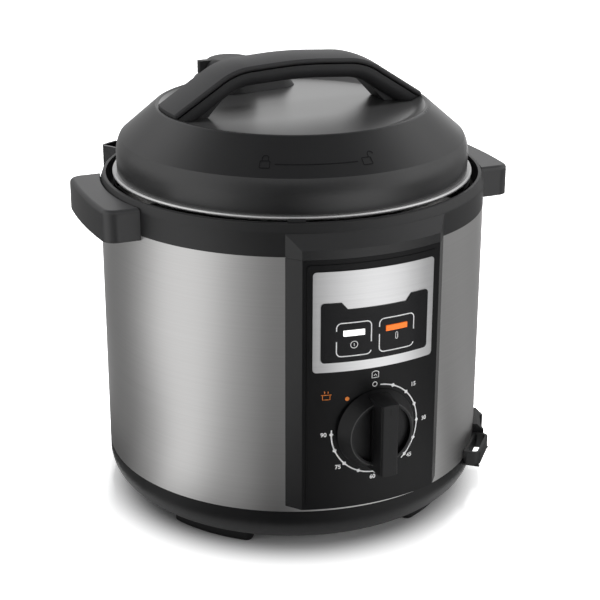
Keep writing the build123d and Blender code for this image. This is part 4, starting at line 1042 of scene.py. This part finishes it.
def stopRamp(tree, stops, turn):
    share = addMath(tree, "MULTIPLY_ADD", turn, 0.5 / math.pi, 0.5)
    ramp = addNode(tree, "ShaderNodeValToRGB")
    ramp.color_ramp.interpolation = "EASE"
    while len(ramp.color_ramp.elements) < len(stops):
        ramp.color_ramp.elements.new(0.5)
    for element, (angle, level) in zip(ramp.color_ramp.elements, stops):
        element.position = (angle + 180) / 360
        glow = level / cards["full"]
        element.color = (glow, glow, glow, 1)
    tree.links.new(share, ramp.inputs["Fac"])
    return ramp.outputs["Color"]


def cardMesh():
    points, faces, rows = [], [], len(cards["profile"])
    for number in range(cards["steps"] + 1):
        turn = math.radians(cards["from"] + (cards["to"] - cards["from"]) * number / cards["steps"])
        points += [aroundAxis(radius, turn, up) for radius, up in cards["profile"]]
    for number in range(cards["steps"]):
        for row in range(rows - 1):
            here = number * rows + row
            faces.append((here, here + rows, here + rows + 1, here + 1))
    mesh = bpy.data.meshes.new("studioCards")
    mesh.from_pydata(points, [], faces)
    return mesh


def cardGlow():
    mat = bpy.data.materials.new("cardGlow")
    mat.use_nodes = True
    tree = mat.node_tree
    tree.nodes.remove(tree.nodes["Principled BSDF"])
    x, y, z = splitPlace(tree)
    turn = addMath(tree, "ARCTAN2", x, addMath(tree, "MULTIPLY", y, -1.0))
    reach = distanceOut(tree)
    near = fade(tree, reach, *cards["near"], 1.0, 0.0)
    left = fade(tree, turn, *(math.radians(angle) for angle in cards["left"]), 1.0, 0.0)
    nearLeft = addMath(tree, "MULTIPLY", near, left)
    nearTurn = addMath(tree, "MULTIPLY_ADD", nearLeft, -math.radians(cards["turnBack"]), turn)
    foot = fade(tree, reach, *cards["foot"], cards["footLevel"], cards["full"])
    floorLevel = addMath(tree, "MULTIPLY", stopRamp(tree, floorStops, nearTurn), foot)
    wallLevel = addMath(tree, "MULTIPLY", stopRamp(tree, wallStops, turn), cards["full"])
    strip = addMath(tree, "MULTIPLY", fade(tree, z, *cards["strip"], 0.0, 1.0), cards["stripLevel"])
    wallLevel = addMath(tree, "MAXIMUM", wallLevel, strip)
    onWall = fade(tree, z, *cards["wall"], 0.0, 1.0)
    rise = addMath(tree, "MULTIPLY", onWall, addMath(tree, "SUBTRACT", wallLevel, floorLevel))
    level = addMath(tree, "ADD", floorLevel, rise)
    level = addMath(tree, "MULTIPLY", level, fade(tree, z, *cards["top"], 1.0, cards["topLevel"]))
    glow = addNode(tree, "ShaderNodeEmission")
    tree.links.new(level, glow.inputs["Strength"])
    tree.links.new(glow.outputs[0], tree.nodes["Material Output"].inputs["Surface"])
    return mat


makeWorld()
makeFloor()
for softbox in softboxes:
    addSoftbox(*softbox)
card = addObject("studioCards", cardMesh())
setFinish(card, cardGlow())
card.visible_camera = card.visible_diffuse = card.visible_transmission = False
card.visible_shadow = card.visible_volume_scatter = False
bpy.context.scene.view_settings.view_transform = "Standard"
print("stage lit")
